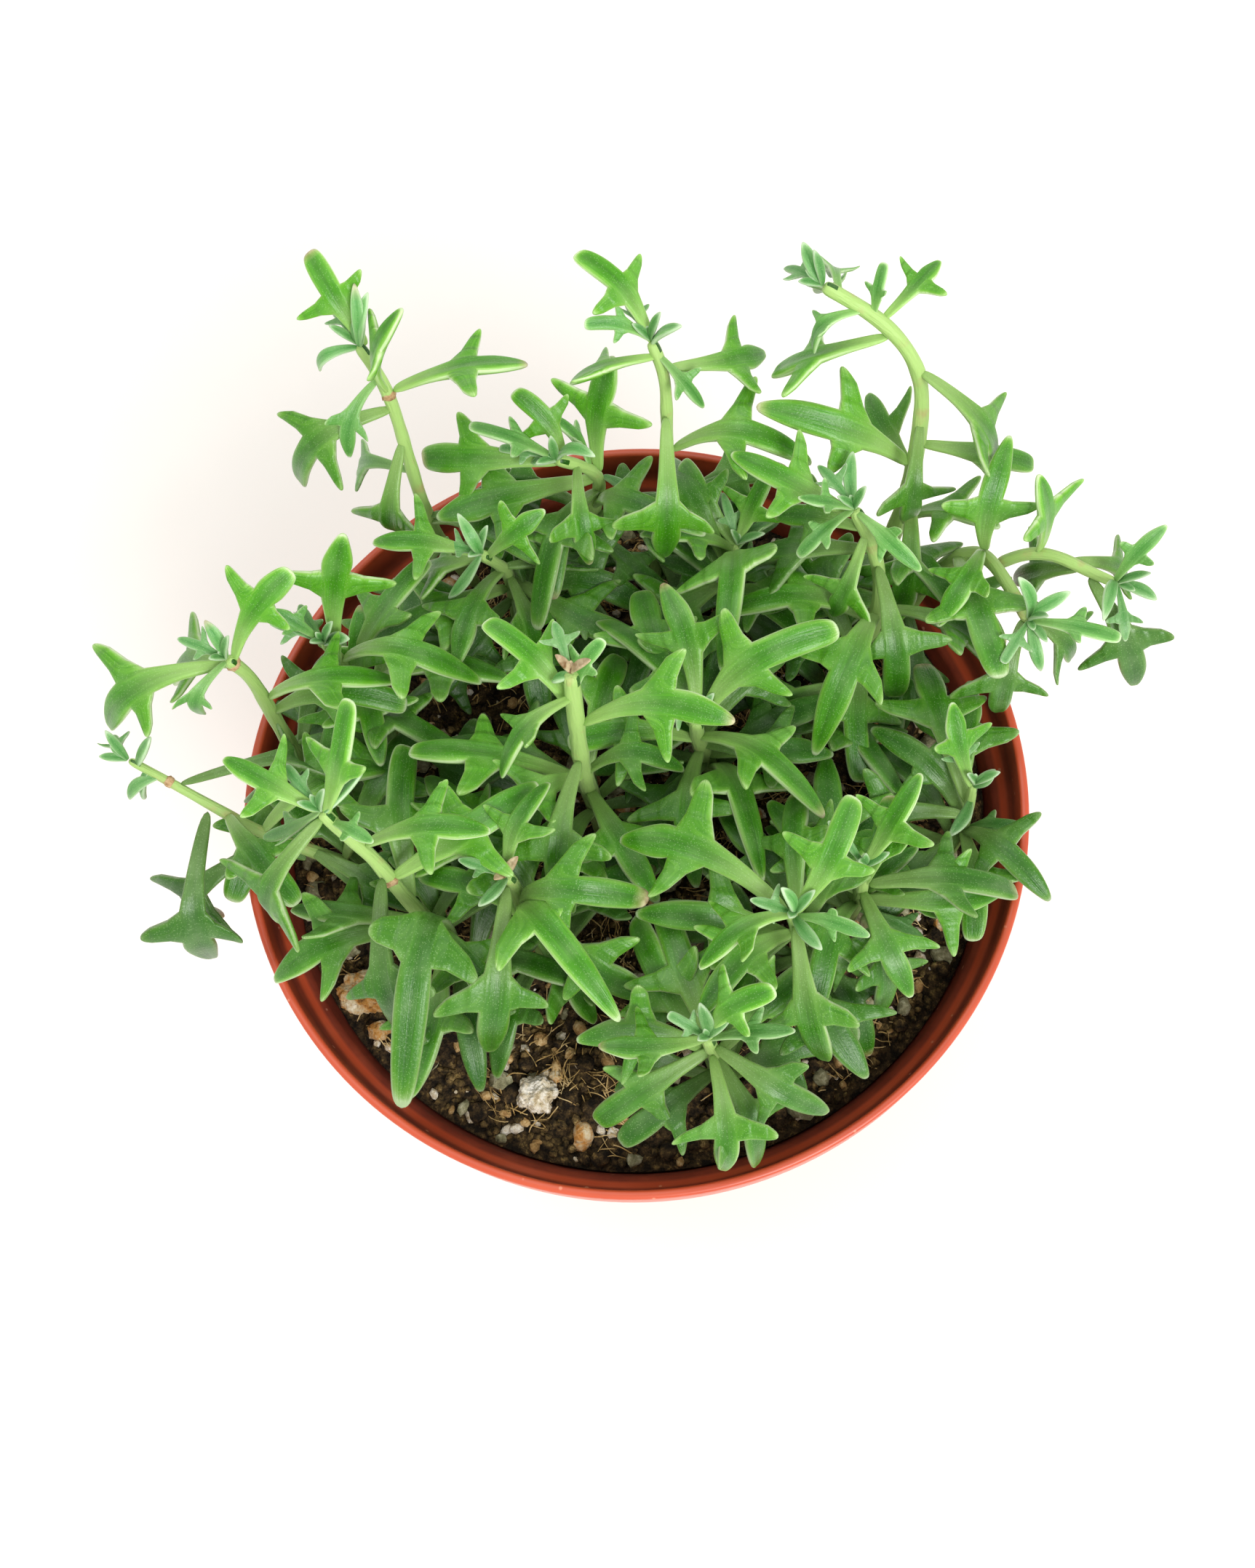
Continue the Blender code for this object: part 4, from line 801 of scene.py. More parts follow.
# %% Bend it into place
def bend_leaf(rest, base, tip, arch):
    """Lay a straight leaf along an arched line from base to tip, with its upper face up."""
    chord = tip - base
    along = chord.normalized()
    up = Vector((0, 0, 1)) - along * along.z
    if up.length < 0.2:
        up = Vector((-along.x, -along.y, 0.3)) if along.z > 0 else Vector((along.x, along.y, 0.3))
        up -= along * up.dot(along)
    up.normalize()
    top = (base + tip) / 2 + up * (2 * arch * chord.length)
    across = up.cross(along)
    placed = []
    for point in rest:
        t = point[0]
        middle = base * (1 - t) ** 2 + top * (2 * t * (1 - t)) + tip * t ** 2
        heading = ((top - base) * (1 - t) + (tip - top) * t).normalized()
        placed.append(middle + across * point[1] + heading.cross(across) * point[2])
    return placed


# %% The room that is left
class Space:
    """What is already in place, so that the next leaf finds room as a growing leaf does."""

    def __init__(self):
        self.pieces = []

    def add(self, group, points, faces):
        low = Vector([min(point[i] for point in points) for i in range(3)])
        high = Vector([max(point[i] for point in points) for i in range(3)])
        self.pieces.append((group, low, high, BVHTree.FromPolygons(points, faces)))

    def is_free(self, group, points, faces):
        low = [min(point[i] for point in points) for i in range(3)]
        high = [max(point[i] for point in points) for i in range(3)]
        tree = None
        for owner, its_low, its_high, its_tree in self.pieces:
            if owner == group:
                continue
            if any(low[i] > its_high[i] or high[i] < its_low[i] for i in range(3)):
                continue
            tree = tree or BVHTree.FromPolygons(points, faces)
            if tree.overlap(its_tree):
                return False
        return True


# %% The places that a leaf tries
LIFTS = (0, 1, -1, 2, -2, 3, -3, 4, -4, 5, -5, 6, -6, 8, -8, 10, 12, 14)      # mm, at the tip
SWINGS = (0, 4, -4, 8, -8, 12, -12, 17, -17, 23, -23)                        # degrees, about the base
EXTRA_ARCH = (0, 0.08, -0.08, 0.16, 0.26)
SHORTER = (1.0, 0.85, 0.7, 0.55)                                             # of the leaf's length, in turn
TRIES = sorted(((lift, swing, arch) for lift in LIFTS for swing in SWINGS for arch in EXTRA_ARCH),
               key=lambda t: abs(t[0]) + abs(t[1]) / 2.5 + abs(t[2]) * 14)


def leaf_base(kind, shoot, line, along, tip):
    """Where a leaf leaves its stem: just off the skin for a leaf of its own, inside the stem if joined."""
    place, direction = point_on(line, along)
    if kind != OWN:
        return place
    outward = (tip - place) - direction * (tip - place).dot(direction)
    if along > TIP_SHARE:
        outward = tip - place
    outward.normalize()
    slant = 1 - abs(outward.dot((tip - place).normalized()))
    clear = stem_radius(shoot, along) * 1.05 + BLADE_HALF_WIDTH * 0.6 * slant + GAP + LEAF_SLIT
    return place + outward * clear


def lower_leaves(shoot, line, number):
    """The leaves low on a stem: each turns GOLDEN_ANGLE from the last and droops into the shade."""
    found = []
    for i in range(LOWER_LEAVES):
        along = 0.2 + 0.2 * i
        place, _ = point_on(line, along)
        angle = math.radians(GOLDEN_ANGLE * (i + number))
        reach = LOWER_REACH * (1.0 - 0.1 * (i % 2))
        tip = place + Vector((math.cos(angle), math.sin(angle), 0)) * reach
        height = 5 + 4 * i + 3 * (number % 3)
        if tip.xy.length < RIM_RADIUS - LOWER_MARGIN:
            found.append((JOINED, along, (tip.x / MM, tip.y / MM, height), 0.25))
    return found


# %% Settle a leaf
def settle(room, shoot, line, group, leaf, number):
    """Find the free place nearest to a leaf's wish, shorter if need be. None if there is no room at all."""
    kind, along, wish, arch = leaf
    place, _ = point_on(line, along)
    for share in SHORTER:
        wanted = (above_soil(wish) - place) * share
        wide, faces = leaf_parts(kind, wanted.length, number, GAP / 2 + LEAF_MARGIN)
        for lift, swing, more_arch in TRIES:
            tip = place + Matrix.Rotation(math.radians(swing), 3, "Z") @ wanted + Vector((0, 0, lift * MM))
            base = leaf_base(kind, shoot, line, along, tip)
            bent = bend_leaf(wide, base, tip, arch + more_arch)
            if room.is_free(group, bent, faces):
                room.add(group, bent, faces)
                return {"kind": kind, "number": number, "length": wanted.length, "root": place,
                        "laid": (base, tip, arch + more_arch), "group": group}
    return None


# %% [markdown]
# ### Find every leaf's place
# The obstacles come first, in the design's order: pot, stones, bare stems, soil. Then come the shoots'
# own leaves and the lower leaves. The print compares a leaf's box with the box of its plain solid, which
# shows that the two scripts agree.

# %% Obstacles
def node_points(name):
    """Points and faces of a plain solid of the frame."""
    mesh = frame["nodes"][name].data
    return [vert.co.copy() for vert in mesh.vertices], [tuple(face.vertices) for face in mesh.polygons]


def rods(paths, bevel_steps, weld):
    """A bmesh of round rods. Each path is a list of places, each with the rod's radius there."""
    curve = bpy.data.curves.new("rods", "CURVE")
    curve.dimensions = "3D"
    curve.bevel_depth = 1.0
    curve.bevel_resolution = bevel_steps
    curve.use_fill_caps = True
    for path in paths:
        spline = curve.splines.new("POLY")
        spline.points.add(len(path) - 1)
        for point, (place, radius) in zip(spline.points, path):
            point.co = (*place, 1)
            point.radius = radius
    guide = link("rods", curve)
    bpy.context.view_layer.update()
    mesh = bpy.data.meshes.new_from_object(guide.evaluated_get(bpy.context.evaluated_depsgraph_get()))
    bpy.data.objects.remove(guide)
    bm = bmesh.new()
    bm.from_mesh(mesh)
    bmesh.ops.remove_doubles(bm, verts=bm.verts, dist=weld)
    return bm


def bare_stem(shoot, line):
    """The design's plain stem, a six-sided rod, as points and faces."""
    path = [(point, stem_radius(shoot, i / (len(line) - 1))) for i, point in enumerate(line)]
    if not shoot.get("fork"):
        foot = Vector((line[0].x, line[0].y, SOIL_TOP - ROOT_DEPTH + GAP))
        path.insert(0, (foot, stem_radius(shoot, 0.0)))
    bm = rods([path], STEM_SIDES // 2 - 2, WELD)
    points = [vert.co.copy() for vert in bm.verts]
    faces = [tuple(vert.index for vert in face.verts) for face in bm.faces]
    bm.free()
    return points, faces


LINES = {name: stem_line(shoot) for name, shoot in SHOOTS.items()}
STONES = ("pumice_left", "pumice_front_left", "pumice_front", "pumice_right")
room = Space()
for name in ("pot",) + STONES:
    room.add(name, *node_points(name))
for name, shoot in SHOOTS.items():
    room.add("stem_" + name, *bare_stem(shoot, LINES[name]))
room.add("soil", *node_points("soil"))
print(len(room.pieces), "obstacles")

# %% Settle the design's leaves
LEAVES = {name: [] for name in SHOOTS}
number = 0
for name, shoot in SHOOTS.items():
    own = 0
    for leaf in shoot["leaves"]:
        number += 1
        own += leaf[0] == OWN
        group = f"leaf_{name}_{own}" if leaf[0] == OWN else "stem_" + name
        LEAVES[name].append(settle(room, shoot, LINES[name], group, leaf, number))
for name, shoot in SHOOTS.items():
    for leaf in [] if shoot.get("fork") else lower_leaves(shoot, LINES[name], number):
        number += 1
        LEAVES[name].append(settle(room, shoot, LINES[name], "stem_" + name, leaf, number))


def off_by(leaf):
    """How far, in mm, a settled plain leaf's box is from the box of its solid."""
    slim, _ = leaf_parts(leaf["kind"], leaf["length"], leaf["number"], 0.0)
    placed = bend_leaf(slim, *leaf["laid"])
    low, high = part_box(leaf["group"])
    mine = [min(p[i] for p in placed) for i in range(3)] + [max(p[i] for p in placed) for i in range(3)]
    return max(abs(a - b) for a, b in zip(mine, list(low) + list(high))) / MM


own_leaves = [leaf for leaves in LEAVES.values() for leaf in leaves if leaf["kind"] == OWN]
print(sum(len(leaves) for leaves in LEAVES.values()), "leaves; the plain ones match their solids to",
      round(max(off_by(leaf) for leaf in own_leaves), 3), "mm")

# %% [markdown]
# ### More leaves in the shade
# The real plant is so dense that soil shows only in front and along the right. Between the shoots, more
# leaves grow lower down. They follow one rule: on each rooted stem, every next leaf stands a golden angle
# further round and a little higher, and keeps out of the clearings. They settle in the room that is left.

# %% Shade leaves
SHADE_LEAVES = 14                    # tried on each rooted stem
SHADE_REACH = 25.5 * MM              # from the stem to the leaf's tip, seen from above
SHADE_HEIGHT = 27.0 * MM             # above the soil; no shade leaf grows out of a stem higher than this
SHADE_LOWEST = 0.08                  # of the stem's length, where the first one grows
SHADE_STEP = 0.055                   # of the stem's length, from one to the next
RIM_MARGIN = 3.0 * MM                # from a shade leaf's tip to the outside of the lip
CLEARINGS = [((-18, -54), 15), ((30, -52), 12), ((48, -30), 13), ((54, -8), 8), ((-44, -33), 9)]


def in_clearing(tip):
    """Whether a leaf's tip would hide the soil where it should show."""
    near = any((tip.xy / MM - Vector(middle)).length < radius for middle, radius in CLEARINGS)
    return near or tip.xy.length > RIM_RADIUS - RIM_MARGIN


def shade_leaves(name, shoot, line):
    """The shade leaves of one stem. Each stem's first one points in a direction of its own."""
    found = []
    for i in range(SHADE_LEAVES):
        along = SHADE_LOWEST + SHADE_STEP * i
        place, _ = point_on(line, along)
        if place.z > SOIL_TOP + SHADE_HEIGHT:
            break
        angle = math.radians(GOLDEN_ANGLE * i + 61 * len(name) + line[0].x / MM * 7)
        tip = place + Vector((math.cos(angle), math.sin(angle), 0)) * SHADE_REACH * (1.0 - 0.06 * (i % 4))
        height = (place.z - SOIL_TOP) / MM * 0.8 + 4 + 3 * (i % 3)
        if not in_clearing(tip):
            found.append((JOINED, along, (tip.x / MM, tip.y / MM, height), 0.2))
    return found


for name, shoot in SHOOTS.items():
    for leaf in [] if shoot.get("fork") else shade_leaves(name, shoot, LINES[name]):
        number += 1
        grown = settle(room, shoot, LINES[name], "stem_" + name, leaf, number)
        if grown:
            LEAVES[name].append(grown)
print(sum(len(leaves) for leaves in LEAVES.values()), "leaves with the shade leaves")

# %% [markdown]
# ## A smooth leaf
# A leaf could be sculpted, but four hundred of them are wanted, so each starts as an eight-sided
# bar whose end face is extruded from station to station. The two side faces between the third and fourth
# stations are drawn out three times to make each fin. A Subdivision Surface then rounds this cage into
# flesh. The cage is a little larger than the leaf, because subdivision pulls it in.

# %% The cage's measures
SECTION = [(1.0, 0.05), (0.66, 0.82), (0.0, 0.5), (-0.66, 0.82), (-1.0, 0.05), (-0.6, -0.8), (0.0, -1.1),
           (0.6, -0.8)]                                  # across and up; the top has a shallow groove
RIM = [1.0, 0.42, 0.0, 0.42, 1.0, 0.5, 0.15, 0.5]        # how near the rim each point of the section is
SWELL = 1.17                         # how much thicker the cage is than the smooth leaf
WIDEN = 1.24                         # how much wider
FIN_ROOT = 0.21                      # of the leaf's length, where a fin leaves it
FIN_RINGS = ((0.54, 0.62, 0.85, 0.35), (0.92, 0.42, 0.75, 0.75),
             (1.16, 0.17, 0.6, 1.1))                     # shares of reach, root, depth and sweep
SHORT_FIN = 0.84                     # every third fin is shorter
FIN_RISE = 0.6 * MM                  # a fin's tip stands none, one or two of these above the blade
FACTS = ("along", "across", "rim", "young", "tone", "dry")


def leaf_stations(kind, fin_start, number):
    """Where the cage has rings: share of the length, share of the half width, share of the thickness."""
    blunt = 0.5 if number % 3 == 1 else 0.2
    belly = 0.86 + 0.05 * (number % 4)
    if kind == YOUNG:
        return [(0.0, 0.4, 0.6), (0.2, 0.62, 0.75), (0.5, 1.0, 1.0), (0.8, 0.8, 0.8), (1.0, 0.15, 0.3)]
    return [(0.0, 0.37, 0.55), (fin_start * 0.55, 0.45, 0.68), (fin_start, 0.74, 0.92),
            (fin_start + FIN_ROOT, 0.84, 1.0), (0.78, belly, 0.95), (0.93, 0.3 + blunt, 0.72),
            (1.0, blunt, 0.3)]


# %% The cage
def ring_index(vert):
    """Which point of the section a vertex of the unit bar is."""
    return round(math.degrees(math.atan2(vert.co.z, vert.co.y)) / 45) % 8


def leaf_cage(leaf):
    """The cage of one leaf, straight, with its facts on its points."""
    kind, number, length = leaf["kind"], leaf["number"], leaf["length"]
    half, thick, reach, fin_start = leaf_sizes(kind, length, number)
    half *= leaf.get("slim", 1.0)
    thick *= leaf.get("slim", 1.0)
    stations = leaf_stations(kind, fin_start, number)
    bm = bmesh.new()
    layers = {name: bm.verts.layers.float.new(name) for name in FACTS}
    lay_along = Matrix.Rotation(math.radians(90), 4, "Y")
    bmesh.ops.create_cone(bm, cap_ends=True, segments=8, radius1=1, radius2=1, depth=1, matrix=lay_along)
    for vert in bm.verts:
        vert.co.x = 0.0 if vert.co.x < 0 else 1.0
    end = [vert for vert in bm.verts if vert.co.x > 0.5]
    for i in range(2, len(stations)):
        cap = next(face for face in bm.faces if len(face.verts) == 8 and face.verts[0] in end)
        end = bmesh.ops.extrude_discrete_faces(bm, faces=[cap])["faces"][0].verts[:]
        for vert in end:
            vert.co.x = i
    for vert in bm.verts:
        share, wide, deep = stations[round(vert.co.x)]
        k = ring_index(vert)
        vert[layers["rim"]] = RIM[k] if share < 1 else 1.0
        vert[layers["along"]] = share
        vert[layers["across"]] = SECTION[k][0]
        vert.co = (share, SECTION[k][0] * half * wide * WIDEN, SECTION[k][1] * thick / 2 * deep * SWELL)
    if reach:
        for side in (-1, 1):
            draw_fin(bm, layers, stations, side, reach, number)
    dry, dry_from = leaf.get("dry", (0.0, 1.0))
    for vert in bm.verts:
        vert[layers["young"]] = leaf.get("young", {YOUNG: 1.0, SMALL: 0.5}.get(kind, 0.0))
        vert[layers["tone"]] = leaf.get("tone", 0.5)
        vert[layers["dry"]] = dry if vert[layers["along"]] > dry_from else 0.0
    bmesh.ops.recalc_face_normals(bm, faces=bm.faces)
    return bm


# %% The cage's fins
def draw_fin(bm, layers, stations, side, reach, number):
    """Draw a fin out of one side: two faces between the third and fourth rings, extruded three times."""
    back, front = stations[2][0], stations[3][0]
    middle = (back + front) / 2
    faces = [face for face in bm.faces if abs(face.calc_center_median().x - middle) < 0.01
             and face.calc_center_median().y * side > 0
             and sum(vert[layers["rim"]] == 1.0 for vert in face.verts) == 2]
    out = reach * (1.0 if (number + side) % 3 else SHORT_FIN)
    forward = 0.03 + 0.035 * ((number * 3 + side) % 4)
    rise = FIN_RISE * ((number * 5 + side) % 3)
    for share, width, deep, sweep in FIN_RINGS:
        grown = bmesh.ops.extrude_face_region(bm, geom=faces)["geom"]
        faces = [item for item in grown if isinstance(item, bmesh.types.BMFace)]
        fresh = [item for item in grown if isinstance(item, bmesh.types.BMVert)]
        centre = sum(vert.co.x for vert in fresh) / len(fresh)
        for vert in fresh:
            is_front = vert.co.x > centre
            vert.co.x = middle + forward * sweep + (0.5 if is_front else -0.5) * (front - back) * width
            vert.co.y = side * out * share
            vert.co.z = vert.co.z * deep + rise * sweep
            vert[layers["along"]] = middle + 0.2 * share
            vert[layers["across"]] = side + (0.4 if is_front else -0.4)
            if share > 1:
                vert[layers["rim"]] = 0.8


# %% Lay a leaf in its place
ROOTED = 0.35                        # of the way from the stem's middle to the plain leaf's base


def lay(leaf, into):
    """Roll and bend a leaf's cage, lay it in its place, and add it to the bmesh of its piece."""
    cage = leaf_cage(leaf)
    base, tip, arch = leaf["laid"]
    base = leaf["root"].lerp(base, ROOTED)
    roll, sway = leaf.get("roll", 0.0), leaf.get("sway", 0.0)
    points = []
    for vert in cage.verts:
        x, y, z = vert.co
        angle = roll * min(1.0, max(0.0, x * 2))
        y, z = y * math.cos(angle) - z * math.sin(angle), y * math.sin(angle) + z * math.cos(angle)
        points.append(Vector((x, y + sway * leaf["length"] * math.sin(math.pi * x), z)))
    for vert, place in zip(cage.verts, bend_leaf(points, base, tip, arch)):
        vert.co = place
    laid = bpy.data.meshes.new("laid")
    cage.to_mesh(laid)
    cage.free()
    into.from_mesh(laid)
    bpy.data.meshes.remove(laid)


def new_piece():
    """An empty bmesh that holds the leaves' facts."""
    bm = bmesh.new()
    for name in FACTS:
        bm.verts.layers.float.new(name)
    return bm


# %% Give each leaf its own character
FULL_SUN = 42 * MM                   # above the soil; a leaf with its tip there has a light tone
MOST_ROLL = 0.6                      # radians
MOST_SWAY = 0.09                     # of the leaf's length
DRY_TIPS = 0.1                       # the chance that a leaf's tip is browned

random.seed(7)
for leaves in LEAVES.values():
    for leaf in leaves:
        # Painted shade: the lower a leaf's tip sits in the foliage, the darker its tone, plus a random tone
        # of its own
        height = (leaf["laid"][1].z - SOIL_TOP) / FULL_SUN
        leaf["tone"] = min(1.0, max(0.0, 0.08 + 0.75 * height + random.uniform(-0.2, 0.2)))
        leaf["roll"] = random.uniform(-MOST_ROLL, MOST_ROLL)
        leaf["sway"] = random.uniform(-MOST_SWAY, MOST_SWAY)
        if random.random() < DRY_TIPS:
            leaf["dry"] = (random.uniform(0.5, 1.0), 0.97)

# %% Make the leaves that are pieces of their own
SMOOTH = 2      # subdivisions
for name, leaves in LEAVES.items():
    for leaf in leaves:
        if leaf["kind"] == OWN:
            bm = new_piece()
            lay(leaf, bm)
            made = piece_from(bm, leaf["group"] + "_skin", [LEAF], [leaf["group"]], SMOOTH)
print("a full leaf has", len(made.data.polygons), "cage faces")

# %% [markdown]
# ## Stems with their joined leaves
# A stem is a soft rod that is a little thicker at each leaf. It starts as a disc, whose face is extruded
# from ring to ring along the stem's line. Its joined leaves go into the same piece.

# %% A stem's cage
RING_SPACING = 2.2 * MM
NODE_SWELL = 0.16                    # how much thicker a stem is at a leaf
NODE_LENGTH = 1.4 * MM               # how far along the stem that thickening reaches
STEM_CAGE_SIDES = 8
STEM_CAGE_SWELL = 1.06               # the cage is thicker, because subdivision pulls it in
STEM_FOOT = 3.0 * MM                 # how far a rooted stem reaches into the soil


def resampled(line, spacing):
    """The same line with points at most spacing apart."""
    length = sum((b - a).length for a, b in zip(line, line[1:]))
    count = max(4, round(length / spacing))
    return [point_on(line, i / count)[0] for i in range(count + 1)]


def stem_cage(bm, shoot, line, leaves):
    """The cage of one stem, with the facts that its ribs follow on its points."""
    points = resampled(line, RING_SPACING)
    for _ in range(3):                                   # soften the corners of the guide line
        softened = [(a + 2 * b + c) / 4 for a, b, c in zip(points, points[1:], points[2:])]
        points = points[:1] + softened + points[-1:]
    roots = [leaf["root"] for leaf in leaves]
    layers = {name: bm.verts.layers.float[name] for name in FACTS}
    if not shoot.get("fork"):
        points.insert(0, Vector((line[0].x, line[0].y, SOIL_TOP - STEM_FOOT)))
    side = Vector((1, 0, 0))
    first = bmesh.ops.create_circle(bm, cap_ends=True, segments=STEM_CAGE_SIDES, radius=1)["verts"]
    face = first[0].link_faces[0]
    for i, point in enumerate(points):
        heading = (points[min(i + 1, len(points) - 1)] - points[max(i - 1, 0)]).normalized()
        side = (side - heading * side.dot(heading)).normalized()
        other = heading.cross(side)
        near = min([(point - root).length for root in roots] + [1.0])
        swell = 1 + NODE_SWELL * math.exp(-(near / NODE_LENGTH) ** 2)
        radius = stem_radius(shoot, i / (len(points) - 1)) * swell
        if i:
            grown = bmesh.ops.extrude_face_region(bm, geom=[face])["geom"] if i == 1 else \
                bmesh.ops.extrude_discrete_faces(bm, faces=[face])["faces"]
            face = next(item for item in grown if isinstance(item, bmesh.types.BMFace))
        for k, vert in enumerate(face.verts):
            angle = 2 * math.pi * k / STEM_CAGE_SIDES
            out = side * math.cos(angle) + other * math.sin(angle)
            vert.co = point + out * radius * STEM_CAGE_SWELL
            vert[layers["across"]], vert[layers["rim"]] = math.cos(angle), math.sin(angle)
            vert[layers["along"]] = i * RING_SPACING / (10 * MM)
    bmesh.ops.recalc_face_normals(bm, faces=bm.faces)


# %% Buds at the tips
BUDS = 4                             # tiny leaves at each shoot's tip


def buds(name, shoot, line, seed):
    """The youngest leaves, 2 to 9 mm long, packed round the tip in a golden spiral that opens outwards."""
    random.seed(seed)
    found = []
    place, heading = point_on(line, 1.0)
    side = heading.cross(Vector((0.3, 0.2, 1))).normalized()
    withered = name in ("centre", "lower_middle")        # two tips have dried
    for i in range(BUDS):
        turn = Matrix.Rotation(math.radians(GOLDEN_ANGLE * i), 3, heading)
        open_out = 0.16 + 0.24 * i
        way = (heading * (1 - open_out * 0.6) + turn @ side * open_out + Vector((0, 0, 0.25))).normalized()
        length = (2.8 + 1.9 * i + random.uniform(-0.9, 0.9)) * MM
        kind = SMALL if i > 2 else YOUNG
        found.append({"kind": kind, "number": seed + i, "length": length, "root": place, "young": 1.0,
                      "laid": (place, place + way * length, 0.1), "tone": 0.62, "slim": 0.6 + 0.07 * i,
                      "dry": (1.0, -1.0) if withered and i < 3 else (0.0, 1.0)})
    return found


for i, (name, shoot) in enumerate(SHOOTS.items()):
    LEAVES[name] += buds(name, shoot, LINES[name], 40 + 7 * i)
print("with", BUDS, "buds on each tip there are", sum(len(leaves) for leaves in LEAVES.values()), "leaves")

# %% Make the stems
for name, shoot in SHOOTS.items():
    bm = new_piece()
    stem_cage(bm, shoot, LINES[name], LEAVES[name])
    for face in bm.faces:
        face.material_index = 0
    stem_faces = len(bm.faces)
    for leaf in LEAVES[name]:
        if leaf["kind"] != OWN:
            lay(leaf, bm)
    bm.faces.ensure_lookup_table()
    for face in bm.faces[stem_faces:]:
        face.material_index = 1
    made = piece_from(bm, f"stem_{name}_skin", [STEM, LEAF], ["stem_" + name], SMOOTH)
print(len(SHOOTS), "stems")

# %% [markdown]
# ### Scars
# Where a leaf has dropped, the stem grows a ring of dry brown cork. Four old ones show.

# %% Scars on the stems
CORK_DEPTH = 0.9 * MM                # half of a scar's length along the stem
SCARS = (("far_left", 0.87), ("left_up", 0.96), ("back_left", 0.84), ("left", 0.66))
bm = bmesh.new()
for i, (name, along) in enumerate(SCARS):
    place, heading = point_on(LINES[name], along)
    cork = bmesh.ops.create_icosphere(bm, subdivisions=3, radius=1)["verts"]
    radius = stem_radius(SHOOTS[name], along) * 1.28
    for vert in cork:
        vert.co *= 1 + noise.noise(vert.co * 3 + Vector((i * 4, 0, 0))) * 0.22
    turned = heading.to_track_quat("Z", "Y").to_matrix().to_4x4()
    shape = turned @ Matrix.Diagonal((radius, radius, CORK_DEPTH, 1))
    bmesh.ops.transform(bm, matrix=Matrix.Translation(place) @ shape, verts=cork)
piece_from(bm, "leaf_scars", [CALLUS])
print(len(SCARS), "scars")

# %% [markdown]
# ## Soil
# The body of soil is turned like the pot, from a line across its top and down its side. Its top is then
# lifted and sunk by noise at three scales. Loose crumbs, grit and fibres lie on it.

# %% The soil's body
SOIL_RADIUS = wall_radius(SOIL_TOP) - 2 * GAP
LUMPS = ((9.0, 1.3, (0, 0, 0)), (3.1, 0.9, (7, 3, 1)), (1.4, 0.7, (0, 0, 0)))   # size, height, shift in mm
SINK_FROM = 0.82                     # of the soil's radius, where it starts to sink towards the wall
SINK = 7.2                           # mm for each whole radius further out


def ground(x, y):
    """Height of the soil's surface, lumpy at three scales and lower near the wall."""
    place = Vector((x, y, 0)) / MM
    lumps = sum(noise.noise(place / size + Vector(shift)) * height for size, height, shift in LUMPS)
    sink = -SINK * max(0.0, math.hypot(x, y) / SOIL_RADIUS - SINK_FROM)
    return SOIL_TOP + (lumps + sink) * MM


SOIL_RINGS = 84                      # across the soil's top
SOIL_FOOT = 2.3                      # mm, just above the pot's floor


def make_soil():
    bm = bmesh.new()
    line = [Vector((SOIL_RADIUS * i / SOIL_RINGS, 0, SOIL_TOP)) for i in range(SOIL_RINGS + 1)]
    line += [Vector((wall_radius(height * MM) - 2 * GAP, 0, height * MM)) for height in (70, 35, SOIL_FOOT)]
    line.append(Vector((0, 0, SOIL_FOOT * MM)))
    verts = [bm.verts.new(point) for point in line]
    edges = [bm.edges.new(pair) for pair in zip(verts, verts[1:])]
    bmesh.ops.spin(bm, geom=verts + edges, cent=(0, 0, 0), axis=(0, 0, 1), angle=2 * math.pi, steps=TURNS,
                   use_merge=True)
    bmesh.ops.remove_doubles(bm, verts=bm.verts, dist=WELD)
    bmesh.ops.recalc_face_normals(bm, faces=bm.faces)
    for vert in bm.verts:
        if vert.co.z > SOIL_TOP - 0.1 * MM:
            vert.co.z = ground(vert.co.x, vert.co.y)
    return piece_from(bm, "soil_body", [PEAT], ["soil"])


soil = make_soil()
print("soil has", len(soil.data.polygons), "faces")

# %% Crumbs and grit
SHAPES = 14                          # different grains of each kind


def grain_shapes(detail):
    """A few balls of few faces, each dented by chance and squashed its own way."""
    shapes = []
    for i in range(SHAPES):
        bm = bmesh.new()
        bmesh.ops.create_icosphere(bm, subdivisions=detail, radius=1)
        for vert in bm.verts:
            vert.co *= random.uniform(0.76, 1.12)
        bmesh.ops.scale(bm, verts=bm.verts, vec=(random.uniform(0.8, 1.3), random.uniform(0.65, 1.0), 0.8))
        mesh = bpy.data.meshes.new("grain")
        bm.to_mesh(mesh)
        bm.free()
        shapes.append(mesh)
    return shapes


def scatter(name, finish, count, sizes, seed, detail=1, sunk=0.2):
    """Loose grains, each one of the shapes, turned and partly sunk in the soil."""
    random.seed(seed)
    shapes = grain_shapes(detail)
    bm = bmesh.new()
    for _ in range(count):
        radius = random.uniform(*sizes) / 2 * MM
        reach = SOIL_RADIUS - radius - 0.3 * MM
        away, turn = reach * math.sqrt(random.random()), random.uniform(0, 2 * math.pi)
        x, y = away * math.cos(turn), away * math.sin(turn)
        place = Matrix.Translation((x, y, ground(x, y) + radius * random.uniform(-sunk, 0.5)))
        twist = Matrix.Rotation(random.uniform(0, 6.3), 4, "Z")
        twist = twist @ Matrix.Rotation(random.uniform(-0.6, 0.6), 4, "X")
        grain = random.choice(shapes).copy()
        grain.transform(place @ twist @ Matrix.Scale(radius, 4))
        bm.from_mesh(grain)
        bpy.data.meshes.remove(grain)
    made = piece_from(bm, name, [finish])
    made.data.set_sharp_from_angle(angle=math.radians(50))
    return made


